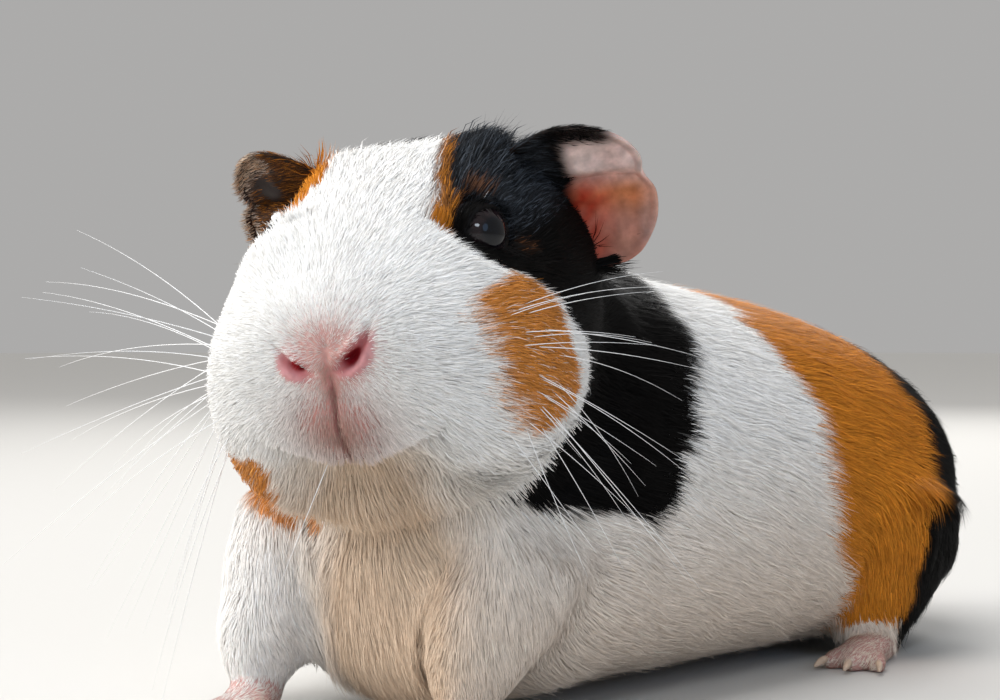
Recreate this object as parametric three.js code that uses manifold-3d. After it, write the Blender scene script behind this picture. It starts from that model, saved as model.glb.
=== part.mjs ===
// A short-haired guinea pig, crouched on its four feet with its head raised and turned to its left.
// Millimetres, +Z up. It faces -Y, its left side is +X, and it rests on z = 0. The origin is on the
// floor under the middle of its box. Every surface is the outline of the coat at the tips of the hair.
import * as THREE from "three";
import { mergeVertices } from "three/addons/utils/BufferGeometryUtils.js";
import Module from "manifold-3d";

const wasm = await Module();
wasm.setup();

const degrees = THREE.MathUtils.degToRad;
const at = (x, y, z) => new THREE.Vector3(x, y, z);
const UP = at(0, 0, 1);
const FORWARD = at(0, -1, 0);

// Sizes of the body
const TRUNK = { length: 198, halfWidth: 53, height: 92, sides: 32, rings: 18 };
const HEAD = { length: 82, halfWidth: 33, halfHeight: 28, sides: 28, rings: 19 };
const NECK = { length: 74, radius: 36, sides: 20, rings: 7 };
const EAR = { length: 26.5, halfWidth: 14, halfThickness: 1.1, cup: 5.5, sides: 14, rings: 9 };
const EYE = { radius: 6, sides: 12, rings: 8 };
const NOSE = { depth: 7, halfWidth: 9.5, halfHeight: 7, sides: 12, rings: 8 };
const SOLE = { height: 4.2, sides: 8, rings: 6 };
const TOE = { length: 9, halfWidth: 2.3, thickness: 2.7, sides: 6, rings: 3 };
const CLAW = { length: 5, halfWidth: 0.9, sides: 6, rings: 3 };
const LEG = { sides: 12, rings: 8 };

// Pose
const BREAST = at(0, -83, 0); // the front end of the trunk
const SHOULDER_CORE = at(0, -22, 48); // where the neck starts, inside the trunk
const NOSE_TIP = at(38, -111, 70);
const HEAD_TURN = degrees(24); // to the animal's left
const HEAD_DIP = degrees(20); // nose below the level
const HEAD_LEAN = degrees(3); // right cheek lowered
const GAP = 0.35; // between neighbouring pieces
const REACH = 600; // larger than the whole animal

// Places on the head, from the tip of the nose, and directions: [ahead, to the side, up]
const EYE_SEAT = { place: [-34, 17.6, 10.3], look: [0.32, 0.92, 0.2] };
const EAR_SEAT = { place: [-57, 19, 10.8], spread: [-0.28, 0.94, -0.08], hollow: [0.9, 0.3, -0.1] };

// Shapes, as shares of the sizes above. Each row is one station along the piece.
const TRUNK_ROWS = [
  // [along, bend to the left, widest level, half width, top, bottom]
  [0.0, 0.3, 0.42, 0.0, 0.42, 0.42],
  [0.05, 0.26, 0.38, 0.55, 0.7, 0.03],
  [0.15, 0.21, 0.4, 0.76, 0.95, 0.01],
  [0.3, 0.11, 0.39, 0.88, 1.01, 0.01],
  [0.48, 0.02, 0.38, 0.97, 0.95, 0.0],
  [0.68, 0.0, 0.38, 1.0, 0.9, -0.004],
  [0.85, 0.03, 0.4, 0.88, 0.8, 0.0],
  [0.95, 0.06, 0.41, 0.6, 0.66, 0.08],
  [1.0, 0.08, 0.42, 0.0, 0.42, 0.42],
];
const HEAD_ROWS = [
  // [behind the nose, widest level, half width, top, bottom]
  [1.0, 0.0, 0.0, 0.0, 0.0],
  [0.86, -0.02, 0.88, 0.72, -1.0],
  [0.7, -0.2, 1.0, 0.8, -1.2],
  [0.56, -0.38, 1.03, 0.82, -1.33],
  [0.42, -0.5, 1.04, 0.75, -1.42],
  [0.29, -0.55, 1.03, 0.64, -1.39],
  [0.18, -0.54, 0.98, 0.52, -1.26],
  [0.09, -0.4, 0.78, 0.41, -0.97],
  [0.025, -0.17, 0.44, 0.26, -0.55],
  [0.0, -0.05, 0.0, -0.05, -0.05],
];
const NECK_ROWS = [
  // [along, half width, above, below]
  [0.0, 0.0, 0.0, 0.0],
  [0.3, 1.0, 0.94, 0.94],
  [0.62, 0.94, 0.86, 0.94],
  [1.0, 0.0, 0.0, 0.0],
];
const EAR_ROWS = [
  // [along, drop of the middle line, half width, half thickness]
  [-0.2, 0.0, 0.0, 0.0],
  [0.0, 0.0, 0.56, 1.0],
  [0.3, 0.0, 0.86, 1.0],
  [0.6, 0.02, 1.0, 1.0],
  [0.84, 0.04, 0.8, 1.0],
  [1.0, 0.05, 0.0, 0.0],
];
const SOLE_ROWS = [
  // [along, height of the middle, half width, above, below]
  [-0.15, 1.0, 0.0, 0.0, 0.0],
  [0.04, 1.0, 0.8, 1.2, 1.15],
  [0.55, 0.9, 1.0, 1.0, 1.1],
  [0.85, 0.7, 0.95, 0.7, 0.85],
  [1.0, 0.5, 0.0, 0.0, 0.0],
];
const TOE_ROWS = [
  // [along, height of the middle, half width, above, below]
  [-0.22, 1.0, 0.0, 0.0, 0.0],
  [0.0, 1.0, 1.0, 0.82, 1.12],
  [0.7, 0.82, 0.9, 0.67, 0.96],
  [1.0, 0.74, 0.0, 0.0, 0.0],
];
const CLAW_ROWS = [
  // [along, height of the middle, half width, half height]
  [-0.3, 0.44, 0.0, 0.0],
  [0.0, 0.48, 1.0, 1.2],
  [0.5, 0.38, 0.75, 0.9],
  [1.0, 0.18, 0.0, 0.0],
];

// Limbs: the hip or shoulder, the ankle or wrist and the heel of each side, and rows of a leg as
// [along, half width, half depth]. A turn is to the animal's left.
const LIMBS = {
  fore: {
    rows: [
      [0.0, 0, 0],
      [0.2, 15, 15],
      [0.5, 13.5, 14.5],
      [0.8, 9.5, 11],
      [1.0, 7.2, 8.2],
      [1.14, 0, 0],
    ],
    sole: { length: 15, halfWidth: 5.5 },
    toes: 4,
    spread: degrees(46),
    left: { top: at(38, -58, 42), ankle: at(38, -77, 9), heel: at(37, -74, 0), turn: degrees(24) },
    right: { top: at(-16, -62, 44), ankle: at(-11, -84, 9), heel: at(-12, -80, 0), turn: degrees(26) },
  },
  hind: {
    rows: [
      [0.0, 0, 0],
      [0.22, 21, 29],
      [0.55, 19, 30],
      [0.85, 12, 21],
      [1.08, 6, 10],
      [1.2, 0, 0],
    ],
    sole: { length: 30, halfWidth: 5.6 },
    toes: 3,
    spread: degrees(34),
    left: { top: at(35, 62, 44), ankle: at(43, 56, 8), heel: at(43, 62, 0), turn: degrees(16) },
    right: { top: at(-31, 62, 44), ankle: at(-39, 56, 8), heel: at(-39, 62, 0), turn: degrees(-14) },
  },
};
const SIDES = { left: 1, right: -1 };

const WHITE_COAT = { color: 0xf2efea, roughness: 0.85, metalness: 0 };
const GINGER_COAT = { color: 0xb4652a, roughness: 0.85, metalness: 0 };
const BLACK_COAT = { color: 0x16130f, roughness: 0.8, metalness: 0 };
const PINK_SKIN = { color: 0xd9928c, roughness: 0.6, metalness: 0 };
const EAR_SKIN = { color: 0xb98478, roughness: 0.6, metalness: 0 };
const DARK_EYE = { color: 0x0b0807, roughness: 0.05, metalness: 0 };
const HORN = { color: 0xd8c3a8, roughness: 0.4, metalness: 0 };

/** The slope of a smooth curve through the knots, at knot number i. */
function slopeAt(places, values, i) {
  const slope = (j) => (values[j + 1] - values[j]) / (places[j + 1] - places[j]);
  if (i === 0) return slope(0);
  if (i === places.length - 1) return slope(i - 1);
  const [before, after] = [slope(i - 1), slope(i)];
  return before * after <= 0 ? 0 : (2 * before * after) / (before + after);
}

/** A smooth curve through the knots that never overshoots them. */
function smooth(places, values, place) {
  let i = 0;
  while (i < places.length - 2 && place > places[i + 1]) i += 1;
  const span = places[i + 1] - places[i];
  const t = THREE.MathUtils.clamp((place - places[i]) / span, 0, 1);
  const start = slopeAt(places, values, i) * span;
  const end = slopeAt(places, values, i + 1) * span;
  const rise = values[i + 1] - values[i];
  return values[i] + t * (start + t * (3 * rise - 2 * start - end + t * (start + end - 2 * rise)));
}

/** A frame for a piece: x ahead, y to the left and z up, with its origin at a point. */
function frame(origin, ahead, above = UP) {
  const x = ahead.clone().normalize();
  const y = new THREE.Vector3().crossVectors(above, x).normalize();
  const z = new THREE.Vector3().crossVectors(x, y);
  return new THREE.Matrix4().makeBasis(x, y, z).setPosition(origin);
}

/** A closed geometry as a solid that can be joined and cut. */
function solid(geometry) {
  const bare = geometry.clone();
  bare.deleteAttribute("normal");
  bare.deleteAttribute("uv");
  const merged = mergeVertices(bare);
  const mesh = new wasm.Mesh({
    numProp: 3,
    vertProperties: Float32Array.from(merged.attributes.position.array),
    triVerts: Uint32Array.from(merged.index.array),
  });
  return new wasm.Manifold(mesh);
}

/**
 * A rounded body along the x axis of its frame. Each station is a row of its place ahead, the
 * sideways shift and height of its centre, its half width, and its size above and below the centre.
 * Sizes are eased as squares, so that ends with no size come out round. squareness above 2 fills the
 * corners of a section, on its upper and lower half, grow is a layer added all round, and warp bends
 * the finished points.
 */
function loft({ stations, place, sides, rings, squareness = [2, 2], grow = 0, warp }) {
  const geometry = new THREE.SphereGeometry(1, sides, rings);
  const points = geometry.attributes.position;
  const column = (k) => stations.map((row) => row[k]);
  const places = column(0);
  const eased = (k, along) => smooth(places, column(k), along);
  const squares = (k) => column(k).map((value) => value * value);
  const size = (k, along) => Math.sqrt(Math.max(0, smooth(places, squares(k), along)));
  const evenness = 0.35; // how far the rings are spread evenly instead of gathered at the ends
  const point = new THREE.Vector3();
  for (let i = 0; i < points.count; i += 1) {
    point.fromBufferAttribute(points, i);
    const outward = new THREE.Vector3(-point.y, point.x, point.z);
    const polar = Math.acos(THREE.MathUtils.clamp(point.y, -1, 1));
    const share = THREE.MathUtils.lerp((1 - Math.cos(polar)) / 2, polar / Math.PI, evenness);
    const along = THREE.MathUtils.lerp(places[0], places[places.length - 1], share);
    const atPole = i <= sides || i >= points.count - sides - 1;
    const angle = Math.atan2(point.z, point.x);
    const [across, aloft] = [Math.cos(angle), Math.sin(angle)];
    const power = 2 / squareness[aloft > 0 ? 0 : 1];
    const half = atPole ? 0 : size(3, along);
    const tall = atPole ? 0 : size(aloft > 0 ? 4 : 5, along);
    point.set(
      along,
      eased(1, along) + half * Math.sign(across) * Math.abs(across) ** power,
      eased(2, along) + tall * Math.sign(aloft) * Math.abs(aloft) ** power,
    );
    if (grow > 0) point.addScaledVector(outward, grow);
    if (warp) warp(point);
    points.setXYZ(i, point.x, point.y, point.z);
  }
  return solid(geometry.applyMatrix4(place));
}

/** A ball of three radii, turned and placed by a frame. */
function ball(radii, place, { sides, rings }) {
  const geometry = new THREE.SphereGeometry(1, sides, rings);
  return solid(geometry.scale(radii.x, radii.y, radii.z).applyMatrix4(place));
}

/** The half of space behind a plane, as a box that is larger than the animal. */
function behind({ point, ahead }, shift = 0) {
  const geometry = new THREE.BoxGeometry(REACH, REACH, REACH).translate(shift - REACH / 2, 0, 0);
  const upright = Math.abs(ahead.z) > Math.abs(ahead.y);
  return solid(geometry.applyMatrix4(frame(point, ahead, upright ? FORWARD : UP)));
}

/** A solid parted by a plane into the piece ahead of it and the piece behind, a gap apart. */
function parted(body, plane) {
  return [body.subtract(behind(plane, GAP / 2)), body.intersect(behind(plane, -GAP / 2))];
}

const animal = new THREE.Group();
const ground = behind({ point: at(0, 0, 0), ahead: UP });

/** Adds a solid, cut off level at the floor, as a named mesh with its own material. */
function addNode(name, body, finish) {
  const { numProp, vertProperties, triVerts } = body.subtract(ground).getMesh();
  const positions = [];
  for (let i = 0; i < vertProperties.length; i += numProp) {
    positions.push(vertProperties[i], vertProperties[i + 1], vertProperties[i + 2]);
  }
  const geometry = new THREE.BufferGeometry();
  geometry.setAttribute("position", new THREE.Float32BufferAttribute(positions, 3));
  geometry.setIndex(Array.from(triVerts));
  geometry.computeVertexNormals();
  const mesh = new THREE.Mesh(geometry, new THREE.MeshStandardMaterial(finish));
  mesh.name = name;
  animal.add(mesh);
}

// Trunk
const trunk = loft({
  stations: TRUNK_ROWS.map(([along, bend, level, half, top, bottom]) => [
    along * TRUNK.length,
    -bend * TRUNK.halfWidth,
    level * TRUNK.height,
    half * TRUNK.halfWidth,
    (top - level) * TRUNK.height,
    (level - bottom) * TRUNK.height,
  ]),
  place: frame(BREAST, at(0, 1, 0)),
  sides: TRUNK.sides,
  rings: TRUNK.rings,
  squareness: [2.05, 2.6],
});

// Head: its frame starts at the tip of the nose and looks where the animal looks
const facing = at(
  Math.sin(HEAD_TURN) * Math.cos(HEAD_DIP),
  -Math.cos(HEAD_TURN) * Math.cos(HEAD_DIP),
  -Math.sin(HEAD_DIP),
);
const headPlace = frame(NOSE_TIP, facing, UP.clone().applyAxisAngle(facing, HEAD_LEAN));
const onHead = (ahead, left, high) => at(ahead, left, high).applyMatrix4(headPlace);
const headWay = (ahead, left, high) => onHead(ahead, left, high).sub(NOSE_TIP).normalize();
const headShape = (grow) =>
  loft({
    stations: HEAD_ROWS.map(([back, level, half, top, bottom]) => [
      -back * HEAD.length,
      0,
      level * HEAD.halfHeight,
      half * HEAD.halfWidth,
      (top - level) * HEAD.halfHeight,
      (level - bottom) * HEAD.halfHeight,
    ]),
    place: headPlace,
    sides: HEAD.sides,
    rings: HEAD.rings,
    squareness: [2.1, 2.6],
    grow,
  });

// Neck: from inside the shoulders to inside the back of the head
const headCore = onHead(-0.62 * HEAD.length, 0, -0.1 * HEAD.halfHeight);
const neck = loft({
  stations: NECK_ROWS.map(([along, half, above, below]) => [
    along * NECK.length,
    0,
    0,
    half * NECK.radius,
    above * NECK.radius,
    below * NECK.radius,
  ]),
  place: frame(SHOULDER_CORE, headCore.clone().sub(SHOULDER_CORE)),
  sides: NECK.sides,
  rings: NECK.rings,
});

const onSide = (side, [ahead, aside, high]) => [ahead, side * aside, high];

/** An eyeball in the side of the head, under the brow. */
function eye(side, grow) {
  const radius = EYE.radius + grow;
  const centre = onHead(...onSide(side, EYE_SEAT.place));
  const place = frame(centre, headWay(...onSide(side, EYE_SEAT.look)));
  return ball(at(radius, radius, radius), place, EYE);
}

/** A broad petal of an ear that spreads to the side, cupped at the root. */
function ear(side, grow) {
  const root = onHead(...onSide(side, EAR_SEAT.place));
  const outward = headWay(...onSide(side, EAR_SEAT.spread));
  const hollowSide = headWay(...onSide(side, EAR_SEAT.hollow));
  return loft({
    stations: EAR_ROWS.map(([along, drop, half, thick]) => [
      along * EAR.length,
      -side * drop * EAR.length,
      0,
      half * EAR.halfWidth,
      thick * EAR.halfThickness,
      thick * EAR.halfThickness,
    ]),
    place: frame(root, outward, hollowSide),
    sides: EAR.sides,
    rings: EAR.rings,
    grow,
    warp: (point) => {
      const aside = point.y / EAR.halfWidth;
      const rootToTip = point.x / EAR.length;
      point.z += EAR.cup * aside * aside * (1.1 - 0.6 * rootToTip); // flatter towards the tip
    },
  });
}

/** A leg from the shoulder or hip down to the wrist or ankle. */
function leg({ rows, ...limb }, sideName, grow) {
  const { top, ankle } = limb[sideName];
  const way = ankle.clone().sub(top);
  return loft({
    stations: rows.map(([along, half, deep]) => [along * way.length(), 0, 0, half, deep, deep]),
    place: frame(top, way, FORWARD),
    sides: LEG.sides,
    rings: LEG.rings,
    grow,
  });
}

/** A foot's sole and toes as one solid, and the frames of its claws, from the right toe to the left. */
function foot({ sole, toes, spread, ...limb }, sideName, grow) {
  const { heel, turn } = limb[sideName];
  const wayAt = (angle) => at(Math.sin(angle), -Math.cos(angle), 0);
  const way = wayAt(turn);
  const across = at(-way.y, way.x, 0);
  let body = loft({
    stations: SOLE_ROWS.map(([along, middle, half, above, below]) => [
      along * sole.length,
      0,
      middle * SOLE.height,
      half * sole.halfWidth,
      above * SOLE.height,
      below * SOLE.height,
    ]),
    place: frame(heel, way),
    sides: SOLE.sides,
    rings: SOLE.rings,
    grow,
  });
  const claws = [];
  for (let i = 0; i < toes; i += 1) {
    const aside = i / (toes - 1) - 0.5;
    const length = TOE.length * (1 - 0.5 * Math.abs(aside) ** 1.5); // the outer toes are shorter
    const ahead = wayAt(turn + aside * spread);
    const knuckle = heel.clone().addScaledVector(way, 0.78 * sole.length);
    knuckle.addScaledVector(across, 1.5 * aside * sole.halfWidth);
    const toe = loft({
      stations: TOE_ROWS.map(([along, middle, half, above, below]) => [
        along * length,
        0,
        middle * TOE.thickness,
        half * TOE.halfWidth,
        above * TOE.thickness,
        below * TOE.thickness,
      ]),
      place: frame(knuckle, ahead),
      sides: TOE.sides,
      rings: TOE.rings,
      grow,
    });
    body = body.add(toe);
    claws.push(frame(knuckle.clone().addScaledVector(ahead, length - 0.25 * CLAW.length), ahead));
  }
  return { body, claws };
}

/** A claw that starts inside the tip of its toe. */
function claw(place, grow) {
  return loft({
    stations: CLAW_ROWS.map(([along, middle, half, tall]) => [
      along * CLAW.length,
      0,
      middle * CLAW.length,
      half * CLAW.halfWidth,
      tall * CLAW.halfWidth,
      tall * CLAW.halfWidth,
    ]),
    place,
    sides: CLAW.sides,
    rings: CLAW.rings,
    grow,
  });
}

// Small pieces first: each one also leaves a hollow, a gap larger, in what it grows from
const hollows = [];
for (const [sideName, side] of Object.entries(SIDES)) {
  addNode(`eye_${sideName}`, eye(side, 0), DARK_EYE);
  addNode(`ear_${sideName}`, ear(side, 0), EAR_SKIN);
  hollows.push(eye(side, GAP), ear(side, GAP));
  for (const [pair, limb] of Object.entries(LIMBS)) {
    const { body, claws } = foot(limb, sideName, 0);
    let bareFoot = body;
    claws.forEach((place, i) => {
      addNode(`${pair}_claw_${sideName}_${i + 1}`, claw(place, 0), HORN);
      bareFoot = bareFoot.subtract(claw(place, GAP));
    });
    const footSpace = foot(limb, sideName, GAP).body;
    addNode(`${pair}foot_${sideName}`, bareFoot, PINK_SKIN);
    addNode(`${pair}leg_${sideName}`, leg(limb, sideName, 0).subtract(footSpace), WHITE_COAT);
    hollows.push(footSpace, leg(limb, sideName, GAP));
  }
}
const hollowed = (body) => hollows.reduce((rest, hollow) => rest.subtract(hollow), body);

// Head: it ends at the nape, and its nose and lower jaw are pieces of their own
const nape = { point: onHead(-0.78 * HEAD.length, 0, 0), ahead: headWay(1, 0, 0.05) };
const mouth = { point: onHead(-3, 0, -21.5), ahead: headWay(0.1, 0, 1) };
const jawEnd = { point: onHead(-38, 0, -24), ahead: headWay(1, 0, -0.5) };
const noseSpace = (grow) => {
  const radii = at(NOSE.depth + grow, NOSE.halfWidth + grow, NOSE.halfHeight + grow);
  return ball(radii, frame(onHead(-1.5, 0, 0.5), facing), NOSE);
};
const jawSpace = (grow) => behind(mouth, grow).subtract(behind(jawEnd, -grow));
const wholeHead = hollowed(headShape(0).subtract(behind(nape, GAP / 2)));
addNode("nose", wholeHead.intersect(noseSpace(0)), PINK_SKIN);
addNode("lower_jaw", wholeHead.intersect(jawSpace(0)).subtract(noseSpace(GAP)), WHITE_COAT);
addNode("head", wholeHead.subtract(noseSpace(GAP)).subtract(jawSpace(GAP)), WHITE_COAT);

// Body: parted across the shoulders, behind the forelegs and before the haunches
const headSpace = headShape(GAP).subtract(behind(nape, -GAP / 2));
const body = hollowed(headShape(0).add(neck).add(trunk).subtract(headSpace));
const [neckPiece, behindNeck] = parted(body, { point: at(8, -48, 60), ahead: at(0.3, -1, 0.75) });
const [chestPiece, behindChest] = parted(behindNeck, { point: at(0, -22, 0), ahead: FORWARD });
const [trunkPiece, rumpPiece] = parted(behindChest, { point: at(0, 60, 0), ahead: FORWARD });
addNode("neck", neckPiece, BLACK_COAT);
addNode("chest", chestPiece, BLACK_COAT);
addNode("trunk", trunkPiece, WHITE_COAT);
addNode("rump", rumpPiece, GINGER_COAT);

const box = new THREE.Box3().setFromObject(animal);
animal.position.set(-(box.min.x + box.max.x) / 2, -(box.min.y + box.max.y) / 2, 0);
animal.updateMatrixWorld(true);

export default animal;
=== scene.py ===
"""A short-haired guinea pig in white, ginger and black, life size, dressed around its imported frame.

Metres, +Z up. The animal faces -Y, its left side is +X and it rests on z = 0. Places on the head are
given as (ahead, left, up) from the tip of the nose, in the head's own directions.
"""

import logging
import math
from collections.abc import Callable
from dataclasses import dataclass, field, replace
from enum import Enum

import bpy
import numpy as np
from mathutils import Matrix, Vector
from mathutils.bvhtree import BVHTree


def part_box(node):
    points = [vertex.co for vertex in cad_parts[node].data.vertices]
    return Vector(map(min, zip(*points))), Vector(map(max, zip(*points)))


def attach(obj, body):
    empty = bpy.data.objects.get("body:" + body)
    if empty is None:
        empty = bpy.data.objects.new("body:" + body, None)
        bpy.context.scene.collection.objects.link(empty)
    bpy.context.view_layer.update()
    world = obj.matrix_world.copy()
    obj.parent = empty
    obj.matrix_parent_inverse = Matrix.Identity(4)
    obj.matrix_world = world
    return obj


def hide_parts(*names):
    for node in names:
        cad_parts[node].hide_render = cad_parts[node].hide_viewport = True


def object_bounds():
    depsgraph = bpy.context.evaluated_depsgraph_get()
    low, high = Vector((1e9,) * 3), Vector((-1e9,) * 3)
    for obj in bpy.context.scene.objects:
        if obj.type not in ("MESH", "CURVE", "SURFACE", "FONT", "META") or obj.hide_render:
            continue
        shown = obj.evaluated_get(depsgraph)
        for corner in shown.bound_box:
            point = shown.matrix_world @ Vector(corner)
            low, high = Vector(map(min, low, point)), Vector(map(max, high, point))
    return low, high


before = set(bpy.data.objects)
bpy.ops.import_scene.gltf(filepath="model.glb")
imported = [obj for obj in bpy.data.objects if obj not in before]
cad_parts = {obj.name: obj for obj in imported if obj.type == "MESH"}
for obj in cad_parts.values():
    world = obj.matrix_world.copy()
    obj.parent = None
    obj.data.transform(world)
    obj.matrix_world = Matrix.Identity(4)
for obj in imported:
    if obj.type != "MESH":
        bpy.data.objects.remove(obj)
CAD_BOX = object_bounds()

LOG = logging.getLogger("guinea_pig")
MM = 0.001
BODY = "root"
COLOUR_LAYER = "coat_colour"
WELD = 0.01 * MM
WAVES = 9
UPRIGHT = np.array([0.0, 0.0, 1.0])
Array = np.ndarray
Triple = tuple[float, float, float]
Knot = tuple[float, float]
Draw = np.random.Generator
Piece = bpy.types.Object
Material = bpy.types.Material
Tree = bpy.types.ShaderNodeTree


class Region(Enum):
    """The parts of the body, each named as its nodes start."""

    NOSE = "nose"
    HEAD = "head"
    JAW = "lower_jaw"
    NECK = "neck"
    CHEST = "chest"
    TRUNK = "trunk"
    RUMP = "rump"
    FORELEG = "foreleg"
    HINDLEG = "hindleg"
    FOREFOOT = "forefoot"
    HINDFOOT = "hindfoot"
    EAR = "ear"


REGIONS = list(Region)
FACE_REGIONS = (Region.NOSE, Region.HEAD, Region.JAW)
FOOT_REGIONS = (Region.FOREFOOT, Region.HINDFOOT)


class Side(Enum):
    """The animal's two sides, with the sign of their left-hand direction."""

    LEFT = 1
    RIGHT = -1

    @property
    def word(self) -> str:
        """The side as node names write it."""
        return self.name.lower()


class Tint(Enum):
    """The colours of the coat, the skin and the eyes, as linear red, green and blue."""

    WHITE = (0.93, 0.915, 0.89)
    # Cream: partly the coat's own warm tone and partly painted shade on the low body, the chest under the
    # head and the chin under the lip.
    CREAM_AND_SHADE = (0.70, 0.53, 0.38)
    BLUSH = (0.40, 0.215, 0.17)
    GINGER = (0.60, 0.215, 0.022)
    BROWN = (0.12, 0.048, 0.020)
    BLACK = (0.0032, 0.0028, 0.0026)
    # Painted sheen: bluish grey that stands in for light glancing off black hair.
    PAINTED_SHEEN = (0.06, 0.07, 0.085)
    PINK = (0.52, 0.25, 0.22)
    # Bare nose: deep rose, paler on the lower wing of each nostril; partly the skin's own tone, partly
    # painted light below and painted shade on the upper rim.
    ROSE = (0.38, 0.10, 0.11)
    WING = (0.56, 0.28, 0.29)
    LIP = (0.20, 0.055, 0.05)
    NOSTRIL = (0.19, 0.005, 0.010)
    RED = (0.55, 0.015, 0.025)
    DARK_SKIN = (0.004, 0.003, 0.003)
    # Ear tones: the skin's pink, with the glow of light through the thin ear painted into the amber and the
    # red, and a painted highlight in the pearl.
    EAR_GLOW_AMBER = (0.48, 0.17, 0.07)
    EAR_ROSE = (0.36, 0.165, 0.12)
    EAR_PEARL_AND_HIGHLIGHT = (0.64, 0.50, 0.46)
    EAR_GLOW_RED = (0.40, 0.04, 0.018)
    # Near black: the skin under the ear's black fur, and painted shade in the hollow at the root and in the
    # right ear.
    EAR_DARK_AND_SHADE = (0.010, 0.006, 0.005)
    IRIS = (0.010, 0.005, 0.004)
    PUPIL = (0.0012, 0.0018, 0.004)

    @property
    def rgb(self) -> Array:
        """The colour as an array."""
        return np.array(self.value)


SHADES = {
    Tint.WHITE: 0.08, Tint.CREAM_AND_SHADE: 0.1, Tint.BLUSH: 0.12, Tint.GINGER: 0.17, Tint.BROWN: 0.3, Tint.BLACK: 0.4,
    Tint.PAINTED_SHEEN: 0.3,
}


def unit(vectors: Array) -> Array:
    """The vectors with a length of one."""
    return vectors / np.maximum(np.linalg.norm(vectors, axis=-1, keepdims=True), 1e-12)


def ease(low: float, high: float, values: Array) -> Array:
    """A smooth step from 0 at low to 1 at high."""
    t = np.clip((values - low) / (high - low), 0.0, 1.0)
    return t * t * (3.0 - 2.0 * t)


def bell(values: Array, width: float) -> Array:
    """A rounded bump of height 1 at zero that fades over the width."""
    return np.exp(-((values / width) ** 2))


def flat_across(vectors: Array, normals: Array) -> Array:
    """The vectors laid flat on surfaces with those normals, with a length of one."""
    return unit(vectors - normals * np.sum(vectors * normals, axis=1, keepdims=True))


def between(values: Array, *knots: Knot) -> Array:
    """What a line that runs straight from knot to knot says at each value."""
    return np.interp(values, *zip(*knots))


def gap_to(places: Array, place: Triple, size: Triple = (1.0, 1.0, 1.0)) -> Array:
    """How far places in metres lie from one in millimetres, counted in its sizes."""
    return np.linalg.norm((places / MM - np.array(place)) / np.array(size), axis=1)


def ripple(points: Array, wavelength: float, seed: int) -> Array:
    """A smooth random field from crossed waves.

    Args:
        points: Places, one row each.
        wavelength: The size of the field's patches, in metres.
        seed: The draw that the waves come from.

    Returns:
        One value for each place, mostly between -1 and 1.
    """
    rng = np.random.default_rng(seed)
    ways = unit(rng.normal(size=(WAVES, 3))) * rng.uniform(0.7, 1.5, size=(WAVES, 1))
    turns = points @ ways.T * (2.0 * math.pi / wavelength) + rng.uniform(0, 2 * math.pi, WAVES)
    return np.sin(turns).sum(axis=1) * math.sqrt(2.0 / WAVES) * 0.7


def deselect() -> None:
    """Leaves nothing selected."""
    bpy.ops.object.select_all(action="DESELECT")


def choose(*pieces: Piece) -> None:
    """Selects only these pieces and makes the first one active."""
    deselect()
    for piece in pieces:
        piece.select_set(True)
    bpy.context.view_layer.objects.active = pieces[0]


def finish_with(piece: Piece, kind: str, **settings: object) -> None:
    """Adds a modifier to a piece and applies it.

    Args:
        piece: The piece to work on.
        kind: The modifier's type.
        **settings: The modifier's own settings.
    """
    choose(piece)
    modifier = piece.modifiers.new(kind.lower(), kind)
    for name, value in settings.items():
        setattr(modifier, name, value)
    bpy.ops.object.modifier_apply(modifier=modifier.name)


def tidied(piece: Piece, weld: bool = False, outwards: bool = True) -> None:
    """Cleans a piece's mesh.

    Args:
        piece: The piece to clean.
        weld: Whether vertices in one place are joined.
        outwards: Whether the faces are turned outwards.
    """
    choose(piece)
    bpy.ops.object.mode_set(mode="EDIT")
    bpy.ops.mesh.select_all(action="SELECT")
    if weld:
        bpy.ops.mesh.remove_doubles(threshold=WELD)
    if outwards:
        bpy.ops.mesh.normals_make_consistent(inside=False)
    bpy.ops.object.mode_set(mode="OBJECT")


def gathered(items: bpy.types.bpy_prop_collection, value: str, columns: int = 3, kind: type = float) -> Array:
    """A value of each item of a mesh, one row each."""
    rows = np.empty(len(items) * columns, kind)
    items.foreach_get(value, rows)
    return rows.reshape(-1, columns)


def points_of(piece: Piece) -> Array:
    """The places of a piece's vertices, one row each."""
    return gathered(piece.data.vertices, "co")


def move_points(piece: Piece, points: Array) -> None:
    """Puts a piece's vertices at new places."""
    piece.data.vertices.foreach_set("co", points.astype(np.float32).ravel())
    piece.data.update()


def normals_of(piece: Piece) -> Array:
    """The outward direction at each of a piece's vertices."""
    return gathered(piece.data.vertex_normals, "vector")


def set_colour(piece: Piece, colours: Array) -> None:
    """Stores linear red, green and blue at each vertex of a piece, for its finish to read."""
    attribute = piece.data.attributes.new(COLOUR_LAYER, "FLOAT_COLOR", "POINT")
    rows = np.ones((len(colours), 4), np.float32)
    rows[:, :3] = colours
    attribute.data.foreach_set("color", rows.ravel())


def mesh_piece(name: str, points: Array, corners: Array, starts: Array) -> Piece:
    """A new piece from arrays of its points and faces.

    Args:
        name: The piece's name.
        points: The vertices, one row each.
        corners: The vertex of each face corner, face after face.
        starts: The first corner of each face.

    Returns:
        The piece, smooth shaded and linked to the scene.
    """
    mesh = bpy.data.meshes.new(name)
    mesh.vertices.add(len(points))
    mesh.vertices.foreach_set("co", points.astype(np.float32).ravel())
    mesh.loops.add(len(corners))
    mesh.loops.foreach_set("vertex_index", corners.astype(np.int32))
    mesh.polygons.add(len(starts))
    mesh.polygons.foreach_set("loop_start", starts.astype(np.int32))
    mesh.polygons.foreach_set("use_smooth", np.ones(len(starts), bool))
    mesh.update(calc_edges=True)
    return shown(name, mesh)


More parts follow.
